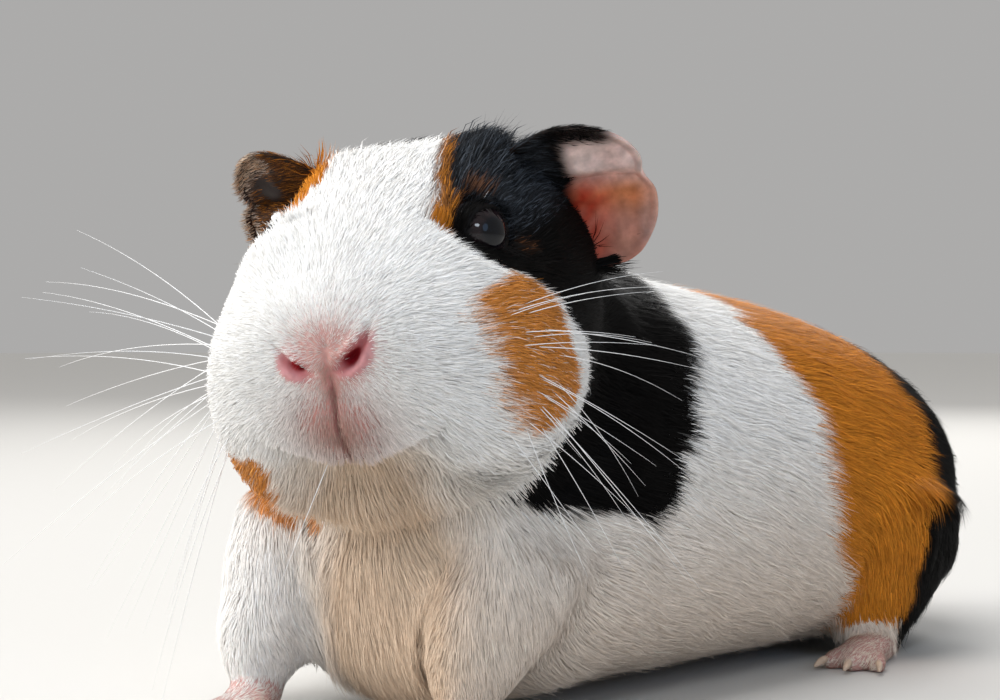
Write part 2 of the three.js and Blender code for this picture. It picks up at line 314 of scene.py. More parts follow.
def shown(name: str, data: bpy.types.ID) -> Piece:
    """A new object of the scene that shows a mesh, a light or a camera."""
    made = bpy.data.objects.new(name, data)
    bpy.context.scene.collection.objects.link(made)
    return made


def hand_over(piece: Piece, finish: Material, slot: str, *nodes: str) -> None:
    """Dresses a finished piece and lets it ride on the body in place of its nodes.

    Args:
        piece: The finished piece.
        finish: Its material.
        slot: The material slot that it belongs to; not used.
        *nodes: The nodes that it stands for.
    """
    piece.data.materials.clear()
    piece.data.materials.append(finish)
    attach(piece, BODY)
    if nodes:
        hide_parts(*nodes)
    LOG.info("%s: %d faces", piece.name, len(piece.data.polygons))


def nodes_of(*regions: Region) -> list[str]:
    """The names of the nodes that belong to these regions."""
    starts = tuple(region.value for region in regions)
    return sorted(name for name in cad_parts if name.startswith(starts))


def copy_of(node: str, name: str) -> Piece:
    """A copy of a node's solid, with a mesh of its own."""
    return shown(name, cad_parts[node].data.copy())


def box_middle(node: str) -> Array:
    """The middle of a node's box."""
    low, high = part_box(node)
    return np.array((low + high) / 2)


def among(regions: Array, *wanted: Region) -> Array:
    """Whether each region number is that of one of the wanted regions."""
    return np.isin(regions, [REGIONS.index(region) for region in wanted])


@dataclass
class Head:
    """The head's own directions and the seats of what sits on it.

    Attributes:
        turn: The head's turn to the animal's left.
        dip: How far the nose points below the level.
        eye_seat: Where an eye's centre sits, as ahead, aside and up.
        eye_look: Where an eye looks, as ahead, aside and up.
        ear_seat: Where an ear's root sits.
        ear_spread: The way an ear grows from its root to its tip.
        ear_hollow: The way the hollow of an ear faces.
    """

    turn: float = math.radians(24)
    dip: float = math.radians(20)
    eye_seat: Triple = (-34 * MM, 17.6 * MM, 10.3 * MM)
    eye_look: Triple = (0.48, 0.86, 0.14)
    ear_seat: Triple = (-57 * MM, 19 * MM, 10.8 * MM)
    ear_spread: Triple = (-0.28, 0.94, -0.08)
    ear_hollow: Triple = (0.9, 0.3, -0.1)

    def __post_init__(self) -> None:
        """Reads the head's directions and the tip of its nose from the two eyes."""
        left_eye, right_eye = box_middle("eye_left"), box_middle("eye_right")
        left = unit(left_eye - right_eye)
        ahead = np.array([
            math.sin(self.turn) * math.cos(self.dip),
            -math.cos(self.turn) * math.cos(self.dip),
            -math.sin(self.dip),
        ])
        ahead = unit(ahead - left * (ahead @ left))
        self.axes = np.array([ahead, left, np.cross(ahead, left)])
        back, _, high = self.eye_seat
        self.nose_tip = (left_eye + right_eye) / 2 - back * self.axes[0] - high * self.axes[2]

    def on_head(self, points: Array) -> Array:
        """Places in the row frame as places on the head."""
        return (points - self.nose_tip) @ self.axes.T

    def in_frame(self, place: Array) -> Array:
        """A place on the head as a place in the row frame."""
        return self.nose_tip + place @ self.axes

    def at(self, *place: float) -> Array:
        """A place on the head, in millimetres, as a place in the row frame."""
        return self.in_frame(np.array(place) * MM)

    def way(self, direction: Triple, side: Side = Side.LEFT) -> Array:
        """A direction on one side of the head, in the row frame, with a length of one."""
        ahead, aside, high = direction
        return unit(np.array([ahead, side.value * aside, high]) @ self.axes)

    def seat(self, place: Triple, side: Side) -> Array:
        """A place on one side of the head, in the row frame."""
        ahead, aside, high = place
        return self.in_frame(np.array([ahead, side.value * aside, high]))


HEAD = Head()


@dataclass(frozen=True)
class Markings:
    """The patches of the coat, worked out from a place on the body alone.

    Attributes:
        edge: How far a patch's border is blurred.
        raggedness: How far a border wanders.
    """

    edge: float = 0.9
    raggedness: float = 1.4

    def _inside(self, *distances: Array, blur: float = 1.0) -> Array:
        """How far inside a patch places lie, from 0 to 1, given their distances from its borders."""
        return ease(-self.edge * blur, self.edge * blur, np.minimum.reduce(distances))

    def shares(self, points: Array) -> dict[Tint, Array]:
        """The share of each colour at each place.

        Args:
            points: Places in the row frame, one row each.

        Returns:
            The shares of the coat's colours, which add up to one; the cream share is partly painted shade,
            and the bluish share of the black is painted sheen.
        """
        x, y, z = (points / MM).T
        places = HEAD.on_head(points)
        ahead, left, up = (places / MM).T
        back, down = -ahead, -up
        wander = self.raggedness * (ripple(points, 13 * MM, 3) + 0.5 * ripple(points, 4.5 * MM, 4))
        ginger, brown, black = (np.zeros(len(points)) for _ in range(3))

        def paint(colour: Array | None, amount: Array) -> None:
            """Lays one colour over the others."""
            for other in (ginger, brown, black):
                other *= 1.0 - amount
            if colour is not None:
                colour += amount

        self._paint_body(paint, ginger, black, (x, y, z), wander)
        paint(None, self._inside(62 - back, 8 - down))
        blaze = between(back, (24, 18.5), (25, 17), (27, 13.5), (29, 12.1), (32, 12.3), (49, 8.1), (70, 5))
        strip = between(back, (24, 1.5), (27, 4.6), (31, 3.6), (38, 2.4), (50, 2.0), (62, 1.2))
        front = between(
            down, (-22, 15), (-14, 19), (-12, 24.4), (-9.5, 24.3), (-6, 25), (-3, 27.5), (0, 30.5), (3, 33),
            (8, 34.5), (13, 40), (28, 42), (31, 50))
        strip = strip * ease(11.5, 14.0, up)
        beside = left - blaze
        paint(ginger, self._inside(beside + 0.5 * wander, back - 24 + 0.4 * wander, up - 12.5, 84 - back))
        paint(brown, self._inside(beside + 1, up - 12, 84 - back) * (0.2 + 0.4 * ease(27.0, 33.0, back)))
        paint(black, self._inside(
            beside - strip + 0.5 * wander, back - front + 0.5 * wander, 84 - back, 32 - down))
        ahead_of_chest = -55.7 - 0.743 * x - 0.669 * y
        jowl = z - between(ahead_of_chest, (0, 35.2), (8, 36.5), (14, 40.5), (18, 47), (22, 58))
        self._paint_cheeks(paint, ginger, (back, left, down), jowl, wander)
        for tan_place, size in (((-40.7, 18.2, 17.1), 3.0), ((-39.0, 27.5, 7.0), 2.0)):
            spot = size - np.sqrt(sum((part - at) ** 2 for part, at in zip((ahead, left, up), tan_place)))
            paint(brown, 0.6 * self._inside(spot + 0.5 * wander, blur=1.8))
        right_ear = self._inside(-left - 21, back - 46, up + 2, 80 - back, blur=2.0)
        paint(brown, 0.65 * right_ear)
        paint(black, 0.55 * right_ear)
        out, aside, _ = Ear(Side.RIGHT).on_ear(points).T
        rim = ease(8.0, 11.5, np.hypot(out - 11.0, aside)) * ease(8.0, 12.0, out)
        paint(None, 0.5 * right_ear * rim)
        white = np.clip(1.0 - ginger - brown - black, 0, 1)
        # Painted sheen: a share of the black hair between the blaze, the left eye and the ear is painted
        # bluish grey, as the sheen of light on black fur.
        painted_sheen = 0.42 * self._inside(back - 35, beside - strip, 27 - left, up - 9, blur=3.0)
        # Painted shade, partly the coat's own cream: the white turns cream towards the floor, less on the
        # right side that faces the light, more on the chest under the head and on the chin under the upper
        # lip. The pale rim of the right ear takes cream as its own colour.
        low = 0.6 * ease(62.0, 14.0, z) * (0.12 + 0.88 * ease(-12.0, 4.0, x))
        low = low + 0.5 * bell(x - 13, 13.0) * ease(-50.0, -68.0, y) * ease(56.0, 40.0, z)
        chin = 0.85 * bell(left + 2, 11.0) * ease(-20.0, -23.0, up) * ease(30.0, 20.0, back)
        cream_and_shade = np.clip(low + chin + 0.9 * right_ear * rim, 0, 0.95)
        lips = 0.95 * bell(left + 1, 9.5) * bell(up + 14.5, 8.0) * ease(20.0, 12.0, back)
        pad = 0.45 * bell(left, 6.0) * bell(up - 0.5, 5.5) * ease(14.0, 8.0, back)
        septum = 0.6 * bell(left + 0.3, 2.2) * bell(up + 4.5, 4.0)
        groove = 0.6 * NOSE.groove(places)
        blush = np.clip(lips + pad + septum + groove, 0, 0.92) * ease(-23.0, -21.0, up)
        return {
            Tint.WHITE: white * (1 - cream_and_shade) * (1 - blush), Tint.CREAM_AND_SHADE: white * cream_and_shade * (1 - blush),
            Tint.BLUSH: white * blush, Tint.GINGER: ginger, Tint.BROWN: brown,
            Tint.BLACK: black * (1 - painted_sheen), Tint.PAINTED_SHEEN: black * painted_sheen,
        }

    def _paint_body(self, paint: Callable, ginger: Array, black: Array, place: tuple[Array, Array, Array],
                    wander: Array) -> None:
        """Lays the patches of the shoulder, the saddle and the rump, at places in millimetres."""
        x, y, z = place
        rear = between(z, (30, -38), (37.5, -38), (42, -31.5), (47, -26.4), (61, -16.7), (75, -9), (95, -4))
        fore = between(z, (40, -68), (50, -58.5), (57, -54), (64, -50), (75, -54), (90, -64), (110, -78))
        base = between(y, (-68, 43), (-51, 39.8), (-39, 37.3), (-30, 35))
        aside = between(z, (60, -14), (95, 4))
        paint(black, self._inside(
            rear - y + wander, y - fore + wander, z - base + 0.6 * wander, x - aside + wander))
        rump = between(
            z, (8, 44), (17.4, 37.7), (27, 29), (35, 26), (44.5, 27.4), (54, 27), (64, 24), (72, 21.7),
            (82, 27), (95, 30))
        blur = 1.5 + 2.5 * ease(70.0, 45.0, z)
        paint(ginger, ease(-blur, blur, y - rump + 1.3 * wander) * self._inside(x + 30 + 1.5 * wander, z - 9))
        tail = between(z, (10, 55), (18, 58), (30, 58), (42, 69), (55, 74), (62, 71), (85, 76))
        paint(black, self._inside(y - tail + wander, x + 16 + 1.5 * wander, z - 2, blur=1.6))
        saddle = 26 - np.hypot(y - 4, (z - 64) * 1.15)
        paint(black, self._inside(saddle + 1.5 * wander, -x - 14 + wander))

    def _paint_cheeks(self, paint: Callable, ginger: Array, place: tuple[Array, Array, Array], jowl: Array,
                      wander: Array) -> None:
        """Lays the patches of both cheeks, at places back, left and down from the nose in millimetres."""
        back, left, down = place
        fore = between(down, (-5, 15.5), (-3, 13), (4, 11.5), (12, 11), (18, 12.5), (22, 16))
        rear = between(down, (-5, 28), (0, 30.5), (7, 32), (14, 33), (21, 31.5))
        rim = self._inside(rear - back + 0.6 * wander, left - 17, 21.6 - down + 0.5 * wander, down + 4.6)
        paint(ginger, 0.93 * ease(-3.8, 3.4, back - fore + wander) * rim)
        paint(ginger, self._inside(back - 36 + wander, -left - 15.5 + wander, 8 - down + wander, 84 - back))
        paint(ginger, 0.9 * self._inside(
            -left - 21 + wander, down - 23 + wander, jowl + 0.7 * wander, back - 6.5, 50 - back, blur=1.3))

    def blended(self, points: Array) -> Array:
        """The coat's colour at each place, with the borders blended."""
        return sum(share[:, None] * tint.rgb for tint, share in self.shares(points).items())

    def picked(self, points: Array, rng: Draw) -> Array:
        """A colour of the coat for each place, half drawn by its share and half blended, in its own shade."""
        shares = self.shares(points)
        tints = np.array([tint.value for tint in shares])
        every = np.stack(list(shares.values()), axis=1)
        choice = (rng.random(len(points))[:, None] > np.cumsum(every, axis=1)[:, :-1]).sum(axis=1)
        mixed = every[:, :3] / np.maximum(every[:, :3].sum(axis=1, keepdims=True), 1e-6) @ tints[:3]
        colours = 0.5 * np.where((choice < 3)[:, None], mixed, tints[choice]) + 0.5 * every @ tints
        unevenness = np.array([SHADES[tint] for tint in shares])[choice]
        return colours * np.exp(rng.normal(0, 1, len(points)) * unevenness)[:, None]


MARKINGS = Markings()


@dataclass(frozen=True)
class CoatStyle:
    """How the coat grows on a region, in millimetres.

    Attributes:
        depth: From the skin to the tips of the hair.
        length: Length of a tuft.
        width: Width of a tuft at its middle.
        comb: The way the hair lies, before it is laid flat on the skin.
    """

    depth: float
    length: float
    width: float
    comb: Triple


BACKWARDS = (0.0, 1.0, -0.38)
DOWNWARDS = (0.0, 0.25, -1.0)
TOEWARDS = (0.0, -1.0, -0.2)
STYLES = {
    Region.NOSE: CoatStyle(0.15, 1.3, 0.09, BACKWARDS),
    Region.HEAD: CoatStyle(1.3, 7.0, 0.17, BACKWARDS),
    Region.JAW: CoatStyle(1.6, 9.0, 0.18, BACKWARDS),
    Region.NECK: CoatStyle(2.6, 11.0, 0.17, BACKWARDS),
    Region.CHEST: CoatStyle(2.8, 12.0, 0.17, BACKWARDS),
    Region.TRUNK: CoatStyle(2.8, 12.0, 0.17, BACKWARDS),
    Region.RUMP: CoatStyle(2.8, 12.0, 0.17, BACKWARDS),
    Region.FORELEG: CoatStyle(1.3, 6.5, 0.16, DOWNWARDS),
    Region.HINDLEG: CoatStyle(2.2, 9.0, 0.22, DOWNWARDS),
    Region.FOREFOOT: CoatStyle(0.2, 2.2, 0.13, TOEWARDS),
    Region.HINDFOOT: CoatStyle(0.2, 2.2, 0.13, TOEWARDS),
    Region.EAR: CoatStyle(0.0, 1.9, 0.12, BACKWARDS),
}


class Relief:
    """A piece's mesh as arrays: what lies next to what, and which region each vertex belongs to."""

    def __init__(self, piece: Piece) -> None:
        """Reads the mesh.

        Args:
            piece: A piece with a closed mesh.
        """
        self.piece = piece
        self.points = points_of(piece)
        self.normals = normals_of(piece)
        one, other = gathered(piece.data.edges, "vertices", 2, np.int32).T
        self.starts = np.concatenate([one, other])
        self.ends = np.concatenate([other, one])
        self.counts = np.maximum(np.bincount(self.starts, minlength=len(self.points)), 1)

    def around(self, values: Array) -> Array:
        """The mean of the values at each vertex's neighbours."""
        flat = values.reshape(len(values), -1)
        sums = [np.bincount(self.starts, flat[self.ends, k], len(flat)) for k in range(flat.shape[1])]
        return (np.array(sums).T / self.counts[:, None]).reshape(values.shape)

    def spread(self, values: Array, rounds: int) -> Array:
        """The values, evened out with their neighbours over a number of rounds."""
        for _ in range(rounds):
            values = 0.5 * values + 0.5 * self.around(values)
        return values

    def relax(self, rounds: Array) -> None:
        """Evens out the surface, each vertex over its own number of rounds."""
        for turn in range(int(rounds.max())):
            share = 0.5 * np.clip(rounds - turn, 0, 1)[:, None]
            self.points += share * (self.around(self.points) - self.points)
        self.refresh()

    def refresh(self) -> None:
        """Writes the moved points back and reads the new normals."""
        move_points(self.piece, self.points)
        self.normals = normals_of(self.piece)

    def push(self, distances: Array) -> None:
        """Moves each vertex outwards by its distance."""
        self.points = self.points + self.normals * distances[:, None]
        self.refresh()


class RegionMap:
    """Tells which region of the body is nearest to a place."""

    def __init__(self, *regions: Region) -> None:
        """Gathers the triangles of the regions' nodes."""
        points: list[Vector] = []
        faces: list[tuple[int, ...]] = []
        self.owners: list[int] = []
        for name in nodes_of(*regions):
            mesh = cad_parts[name].data
            first = len(points)
            points.extend(vertex.co.copy() for vertex in mesh.vertices)
            faces.extend(tuple(first + corner for corner in face.vertices) for face in mesh.polygons)
            owner = next(k for k, region in enumerate(REGIONS) if name.startswith(region.value))
            self.owners.extend([owner] * len(mesh.polygons))
        self.tree = BVHTree.FromPolygons(points, faces)

    def nearest(self, points: Array) -> Array:
        """The number in REGIONS of the region nearest to each place."""
        find, owners = self.tree.find_nearest, self.owners
        return np.array([owners[find(Vector(point))[2]] for point in points])


def styled(regions: Array, value: str) -> Array:
    """One of the coat styles' values for each region number, in metres where it is a size."""
    rows = [getattr(STYLES[region], value) for region in REGIONS]
    scale = 1.0 if value == "comb" else MM
    return np.array(rows, float)[regions] * scale


def wrist_rule(points: Array, regions: Array) -> Array:
    """How much of its size the hair keeps as it runs down a fore leg to the wrist, from 0 to 1."""
    on_leg = among(regions, Region.FORELEG)
    return np.where(on_leg, 0.3 + 0.7 * ease(8 * MM, 26 * MM, points[:, 2]), 1.0)


def face_rule(points: Array, regions: Array, values: Array, *knots: Knot) -> Array:
    """Values on the face that follow the distance from the nose, and the others as they are.

    Args:
        points: Places in the row frame.
        regions: The region number of each place.
        values: The values so far, in metres.
        *knots: Distances from the middle of the nose and the value there, in millimetres.

    Returns:
        The values with those of the face replaced.
    """
    reach = gap_to(HEAD.on_head(points), (-2.0, 0.0, -1.0))
    return np.where(among(regions, *FACE_REGIONS), between(reach, *knots) * MM, values)


@dataclass(frozen=True)
class NoseShape:
    """The relief of the nose and lips, in millimetres on the front of the head.

    Attributes:
        nostril: Middle of a nostril, aside and up.
        slant: How far a nostril's outer end is turned up.
        mouth: How far below the nose the mouth's middle lies.
        mouth_reach: Half the width of the mouth.
        middle_shift: How far the lips' middle line lies to the right.
    """

    nostril: tuple[float, float] = (5.5, -0.95)
    slant: float = math.radians(38)
    mouth: float = -20.8
    mouth_reach: float = 9.5
    middle_shift: float = -1.1

    def _on_nostril(self, places: Array) -> tuple[Array, Array, Array]:
        """Places along and across the slit of the nearer nostril, and how far left they lie."""
        _, left, up = (places / MM).T
        aside = np.abs(left + 0.85) - self.nostril[0]
        high = up - self.nostril[1] - 0.117 * left
        along = aside * math.cos(self.slant) + high * math.sin(self.slant)
        across = high * math.cos(self.slant) - aside * math.sin(self.slant)
        return along, across - 0.05 * along * along, left

    @staticmethod
    def _opening(along: Array, across: Array, left: Array) -> Array:
        """How far in the opening of a nostril places lie, the left one being wider, from 0 to 1."""
        length, girth = np.where(left > 0, 1.9, 1.35), np.where(left > 0, 1.0, 0.55)
        return bell(along + 0.3, length) * bell(across, girth * (1.0 + 0.12 * np.clip(-along, -2, 2)))

    def _middle(self, up: Array) -> Array:
        """Where the groove under the nose runs at each height."""
        return self.middle_shift * ease(-3.0, -14.0, up)

    def mouth_line(self, left: Array) -> Array:
        """How high the mouth runs at each place aside."""
        aside = np.abs(left - self.middle_shift)
        return self.mouth - 0.9 * bell(aside - 3.4, 2.6) + 0.028 * aside * aside

    def pit(self, places: Array) -> Array:
        """How deep in a nostril places lie, from 0 to 1."""
        return self._opening(*self._on_nostril(places))

    def bare(self, places: Array) -> Array:
        """How bare the skin is, from 0 to 1."""
        ahead, left, up = (places / MM).T
        along, across, _ = self._on_nostril(places)
        long = np.where(left > 0, 4.2, 3.3)
        wing = ease(1.55, 0.6, np.hypot((along - 0.4) / long, (across + 0.6) / 2.2))
        lips = ease(1.3, 0.5, np.abs(up - self.mouth_line(left))) * ease(self.mouth_reach, 6.0, np.abs(left))
        return np.maximum.reduce([wing, 0.6 * lips, 0.5 * self.groove(places)]) * ease(-18.0, -12.0, ahead)

    def outer(self, places: Array) -> Array:
        """How near places lie to the outer end of a nostril, from 0 to 1."""
        return ease(-1.5, 0.3, self._on_nostril(places)[0])

    def wing(self, places: Array) -> Array:
        """How far places lie on the pale lower wing of a nostril, from 0 to 1."""
        return ease(-0.5, -1.9, self._on_nostril(places)[1])

    def groove(self, places: Array) -> Array:
        """How far in the groove under the nose places lie, from 0 to 1."""
        ahead, left, up = (places / MM).T
        depth = bell(left - self._middle(up), 0.75) * ease(0.5, -5.0, up) * ease(-22.5, -20.0, up)
        return depth * (0.55 + 0.45 * ease(-8.0, -16.0, up)) * ease(-18.0, -12.0, ahead)

    def thin(self, places: Array) -> Array:
        """How thin the coat is on the nose and the lips, from 0 to 1."""
        ahead, left, up = (places / MM).T
        pad = 0.8 * ease(1.45, 0.7, np.hypot(left / 7.5, (up + 0.5) / 5.8))
        lips = ease(1.2, 0.6, np.hypot((left - self.middle_shift) / 8.8, (up + 14.5) / 8.5))
        return np.maximum(pad, lips) * ease(-16.0, -10.0, ahead)

    def rise(self, places: Array) -> Array:
        """How far the skin is raised at places on the head, in metres."""
        ahead, left, up = (places / MM).T
        along, across, _ = self._on_nostril(places)
        pit = -2.5 * self._opening(along, across, left)
        slit = np.where(left > 0, 0.9, 0.35)
        tail = -slit * bell(along - 3.4, 1.6) * bell(across, 0.6)
        tail -= 0.35 * bell(along + 3.2, 1.2) * bell(across, 0.7)
        wing = 0.75 * bell(along - 0.4, 3.0) * bell(across - 1.75, 1.0)
        lower_rim = 0.5 * bell(along, 2.8) * bell(across + 1.9, 1.1)
        septum = -0.35 * bell(left, 0.7) * ease(-6.0, -3.0, up) * ease(5.0, 1.0, up)
        gap = left - self._middle(up)
        groove = -1.0 * bell(gap, 0.5) * ease(-3.0, -7.0, up) * ease(-22.0, -19.5, up)
        lobes = 0.7 * bell(np.abs(gap) - 3.6, 3.0) * bell(up + 15.5, 4.5)
        line = up - self.mouth_line(left)
        within = ease(self.mouth_reach + 1.5, self.mouth_reach - 2.5, np.abs(left))
        mouth = -1.3 * bell(line + 0.5, 0.7) * within
        chin = -4.6 * ease(0.2, 2.2, -line) * ease(-38.0, -26.0, up) * ease(19.0, 9.0, np.abs(left))
        total = pit + tail + wing + lower_rim + septum + groove + lobes + mouth + chin
        under = -3.4 * ease(-21.0, -32.0, up) * ease(-56.0, -44.0, up)
        under *= ease(-5.0, 9.0, left) * ease(-54.0, -26.0, ahead)
        return (total * ease(-20.0, -13.0, ahead) + under) * MM


NOSE = NoseShape()


@dataclass
class Ear:
    """A thin petal of an ear with a rolled rim, a notch, a fold and the hollow at its root.

    Attributes:
        side: Which ear it is.
        length: From the root to the tip.
        half_width: Half the height of the petal.
        cup: How far its upper and lower edges come forward.
        wall: Thickness of the petal.
        droop: How far the tip hangs.
        mesh_steps: Faces across the petal.
    """

    side: Side
    length: float = 26.5 * MM
    half_width: float = 13.4 * MM
    cup: float = 5.0 * MM
    wall: float = 0.9 * MM
    droop: float = 2.6 * MM
    mesh_steps: int = 60

    def __post_init__(self) -> None:
        """Reads the ear's own directions from the head."""
        self.length *= 1.0 if self.side is Side.LEFT else 0.86
        spread = HEAD.way(HEAD.ear_spread, self.side)
        facing = HEAD.way(HEAD.ear_hollow, self.side)
        upright = unit(np.cross(facing, spread)) * self.side.value
        hollow = unit(np.cross(spread, upright)) * self.side.value
        self.axes = np.array([spread, upright, hollow])
        self.root = HEAD.seat(HEAD.ear_seat, self.side)

    def on_ear(self, points: Array) -> Array:
        """Places in the row frame as places out from the root, up and forward, in millimetres."""
        return (points - self.root) @ self.axes.T / MM

    @staticmethod
    def _fold(out: Array, up: Array) -> Array:
        """How far places lie above the fold that parts the upper lobe from the lower one."""
        return up - 0.4 - 0.17 * out

    def _hang(self, out: Array) -> Array:
        """How far the petal hangs at places out from the root, in millimetres."""
        return self.droop / MM * (np.maximum(out, 0) / (self.length / MM)) ** 2

    def _hollow_height(self, out: Array, up: Array) -> Array:
        """How far the petal comes forward at places out from the root and up, in millimetres."""
        across = up / (self.half_width / MM)
        share = out / (self.length / MM)
        cup = self.cup / MM * across * across * (1.1 - 0.65 * share)
        hollow = -3.4 * bell(out - 3.5, 6.0) * bell(up + 0.5, 5.2)
        fold_line = self._fold(out, up)
        fold = -1.5 * bell(fold_line, 1.2) * ease(4.0, 11.0, out) * ease(28.0, 21.0, out)
        ridge = 1.2 * bell(fold_line + 3.0, 1.7) * ease(3.0, 9.0, out) * ease(24.0, 15.0, out)
        lobe = bell(up + 6.5, 4.0) * bell(out - 16.0, 6.0)
        waves = 0.3 * np.sin(out * 0.55 + up * 0.35) * ease(6.0, 14.0, out)
        return cup + hollow + fold + ridge + lobe + waves

    def build(self) -> Piece:
        """Makes the ear as a closed shell in its place."""
        deselect()
        bpy.ops.mesh.primitive_grid_add(
            x_subdivisions=self.mesh_steps, y_subdivisions=self.mesh_steps, size=2.0)
        shell = bpy.context.active_object
        shell.name = f"ear_shell_{self.side.word}"
        x, y, _ = points_of(shell).T
        round_x, round_y = x * np.sqrt(1 - y * y / 2), y * np.sqrt(1 - x * x / 2)
        angle = np.degrees(np.arctan2(round_y, round_x))
        radius = np.hypot(round_x, round_y)
        outline = 1.0 + 0.09 * bell(angle - 62, 28) + 0.08 * bell(angle + 52, 34)
        outline -= 0.10 * bell(angle - 24, 10)
        outline += 0.16 * bell(np.abs(angle) - 180, 52) + 0.10 * bell(angle - 104, 26)
        half_length = 0.56 * self.length / MM
        out = 0.44 * self.length / MM + radius * outline * np.cos(np.radians(angle)) * half_length
        up = radius * outline * np.sin(np.radians(angle)) * self.half_width / MM
        rim = ease(0.88, 1.0, radius) * ease(180, 110, np.abs(angle))
        height = self._hollow_height(out, up) + rim
        places = np.stack([out, up - self._hang(out), height], axis=1) * MM
        move_points(shell, self.root + places @ self.axes)
        finish_with(shell, "SOLIDIFY", thickness=self.wall, offset=0.0, use_even_offset=False)
        finish_with(shell, "SUBSURF", levels=1, render_levels=1)
        tidied(shell)
        return shell

    def tones(self, points: Array) -> Array:
        """The colours of the bare skin in the hollow: the skin's pink with a painted glow of light through
        the lower lobe, a painted highlight on the upper lobe and painted shade at the root and over the right
        ear.
        """
        out, up, _ = self.on_ear(points).T
        up = up + self._hang(out)
        line = self._fold(out, up)
        low, lobe = ease(2.2, -3.0, line)[:, None], ease(-2.5, -9.0, line + 0.2 * (out - 18.0))[:, None]
        # Painted glow: below the fold the lower lobe takes amber and rose, as light shining through it; above
        # the fold the pale pearl is partly painted highlight on the upper lobe.
        warm_glow = (1 - lobe) * Tint.EAR_GLOW_AMBER.rgb + lobe * Tint.EAR_ROSE.rgb
        tones = low * warm_glow + (1 - low) * Tint.EAR_PEARL_AND_HIGHLIGHT.rgb
        tones = tones * (1.0 + 0.14 * ripple(points, 3.0 * MM, 42))[:, None]
        mottle = 0.7 + 0.3 * (0.5 + 0.5 * ripple(points, 3.5 * MM, 41))
        # Painted glow: the lower lobe turns red towards the root, as light shining through it, mottled.
        red = 0.95 * low[:, 0] * ease(21.0, 13.0, out + 0.1 * np.abs(up)) * mottle
        for tint, amount in (
            (Tint.EAR_GLOW_RED, red),
            # Partly painted highlight: the tip turns paler.
            (Tint.EAR_PEARL_AND_HIGHLIGHT, 0.4 * ease(22.0, 26.0, out)),
            # Painted shade: the hollow at the root turns near black. The dark upper edge is the skin under
            # the black fur.
            (Tint.EAR_DARK_AND_SHADE, ease(12.5, 8.5, out + 0.12 * np.abs(up + 1))),
            (Tint.EAR_DARK_AND_SHADE, 0.9 * ease(9.5, 12.5, up) * ease(21.0, 16.0, out)),
        ):
            tones = tones + amount[:, None] * (tint.rgb - tones)
        # Painted shade: the right ear's hollow is painted near black.
        if self.side is Side.RIGHT:
            tones = tones + 0.97 * (Tint.EAR_DARK_AND_SHADE.rgb - tones)
        return tones


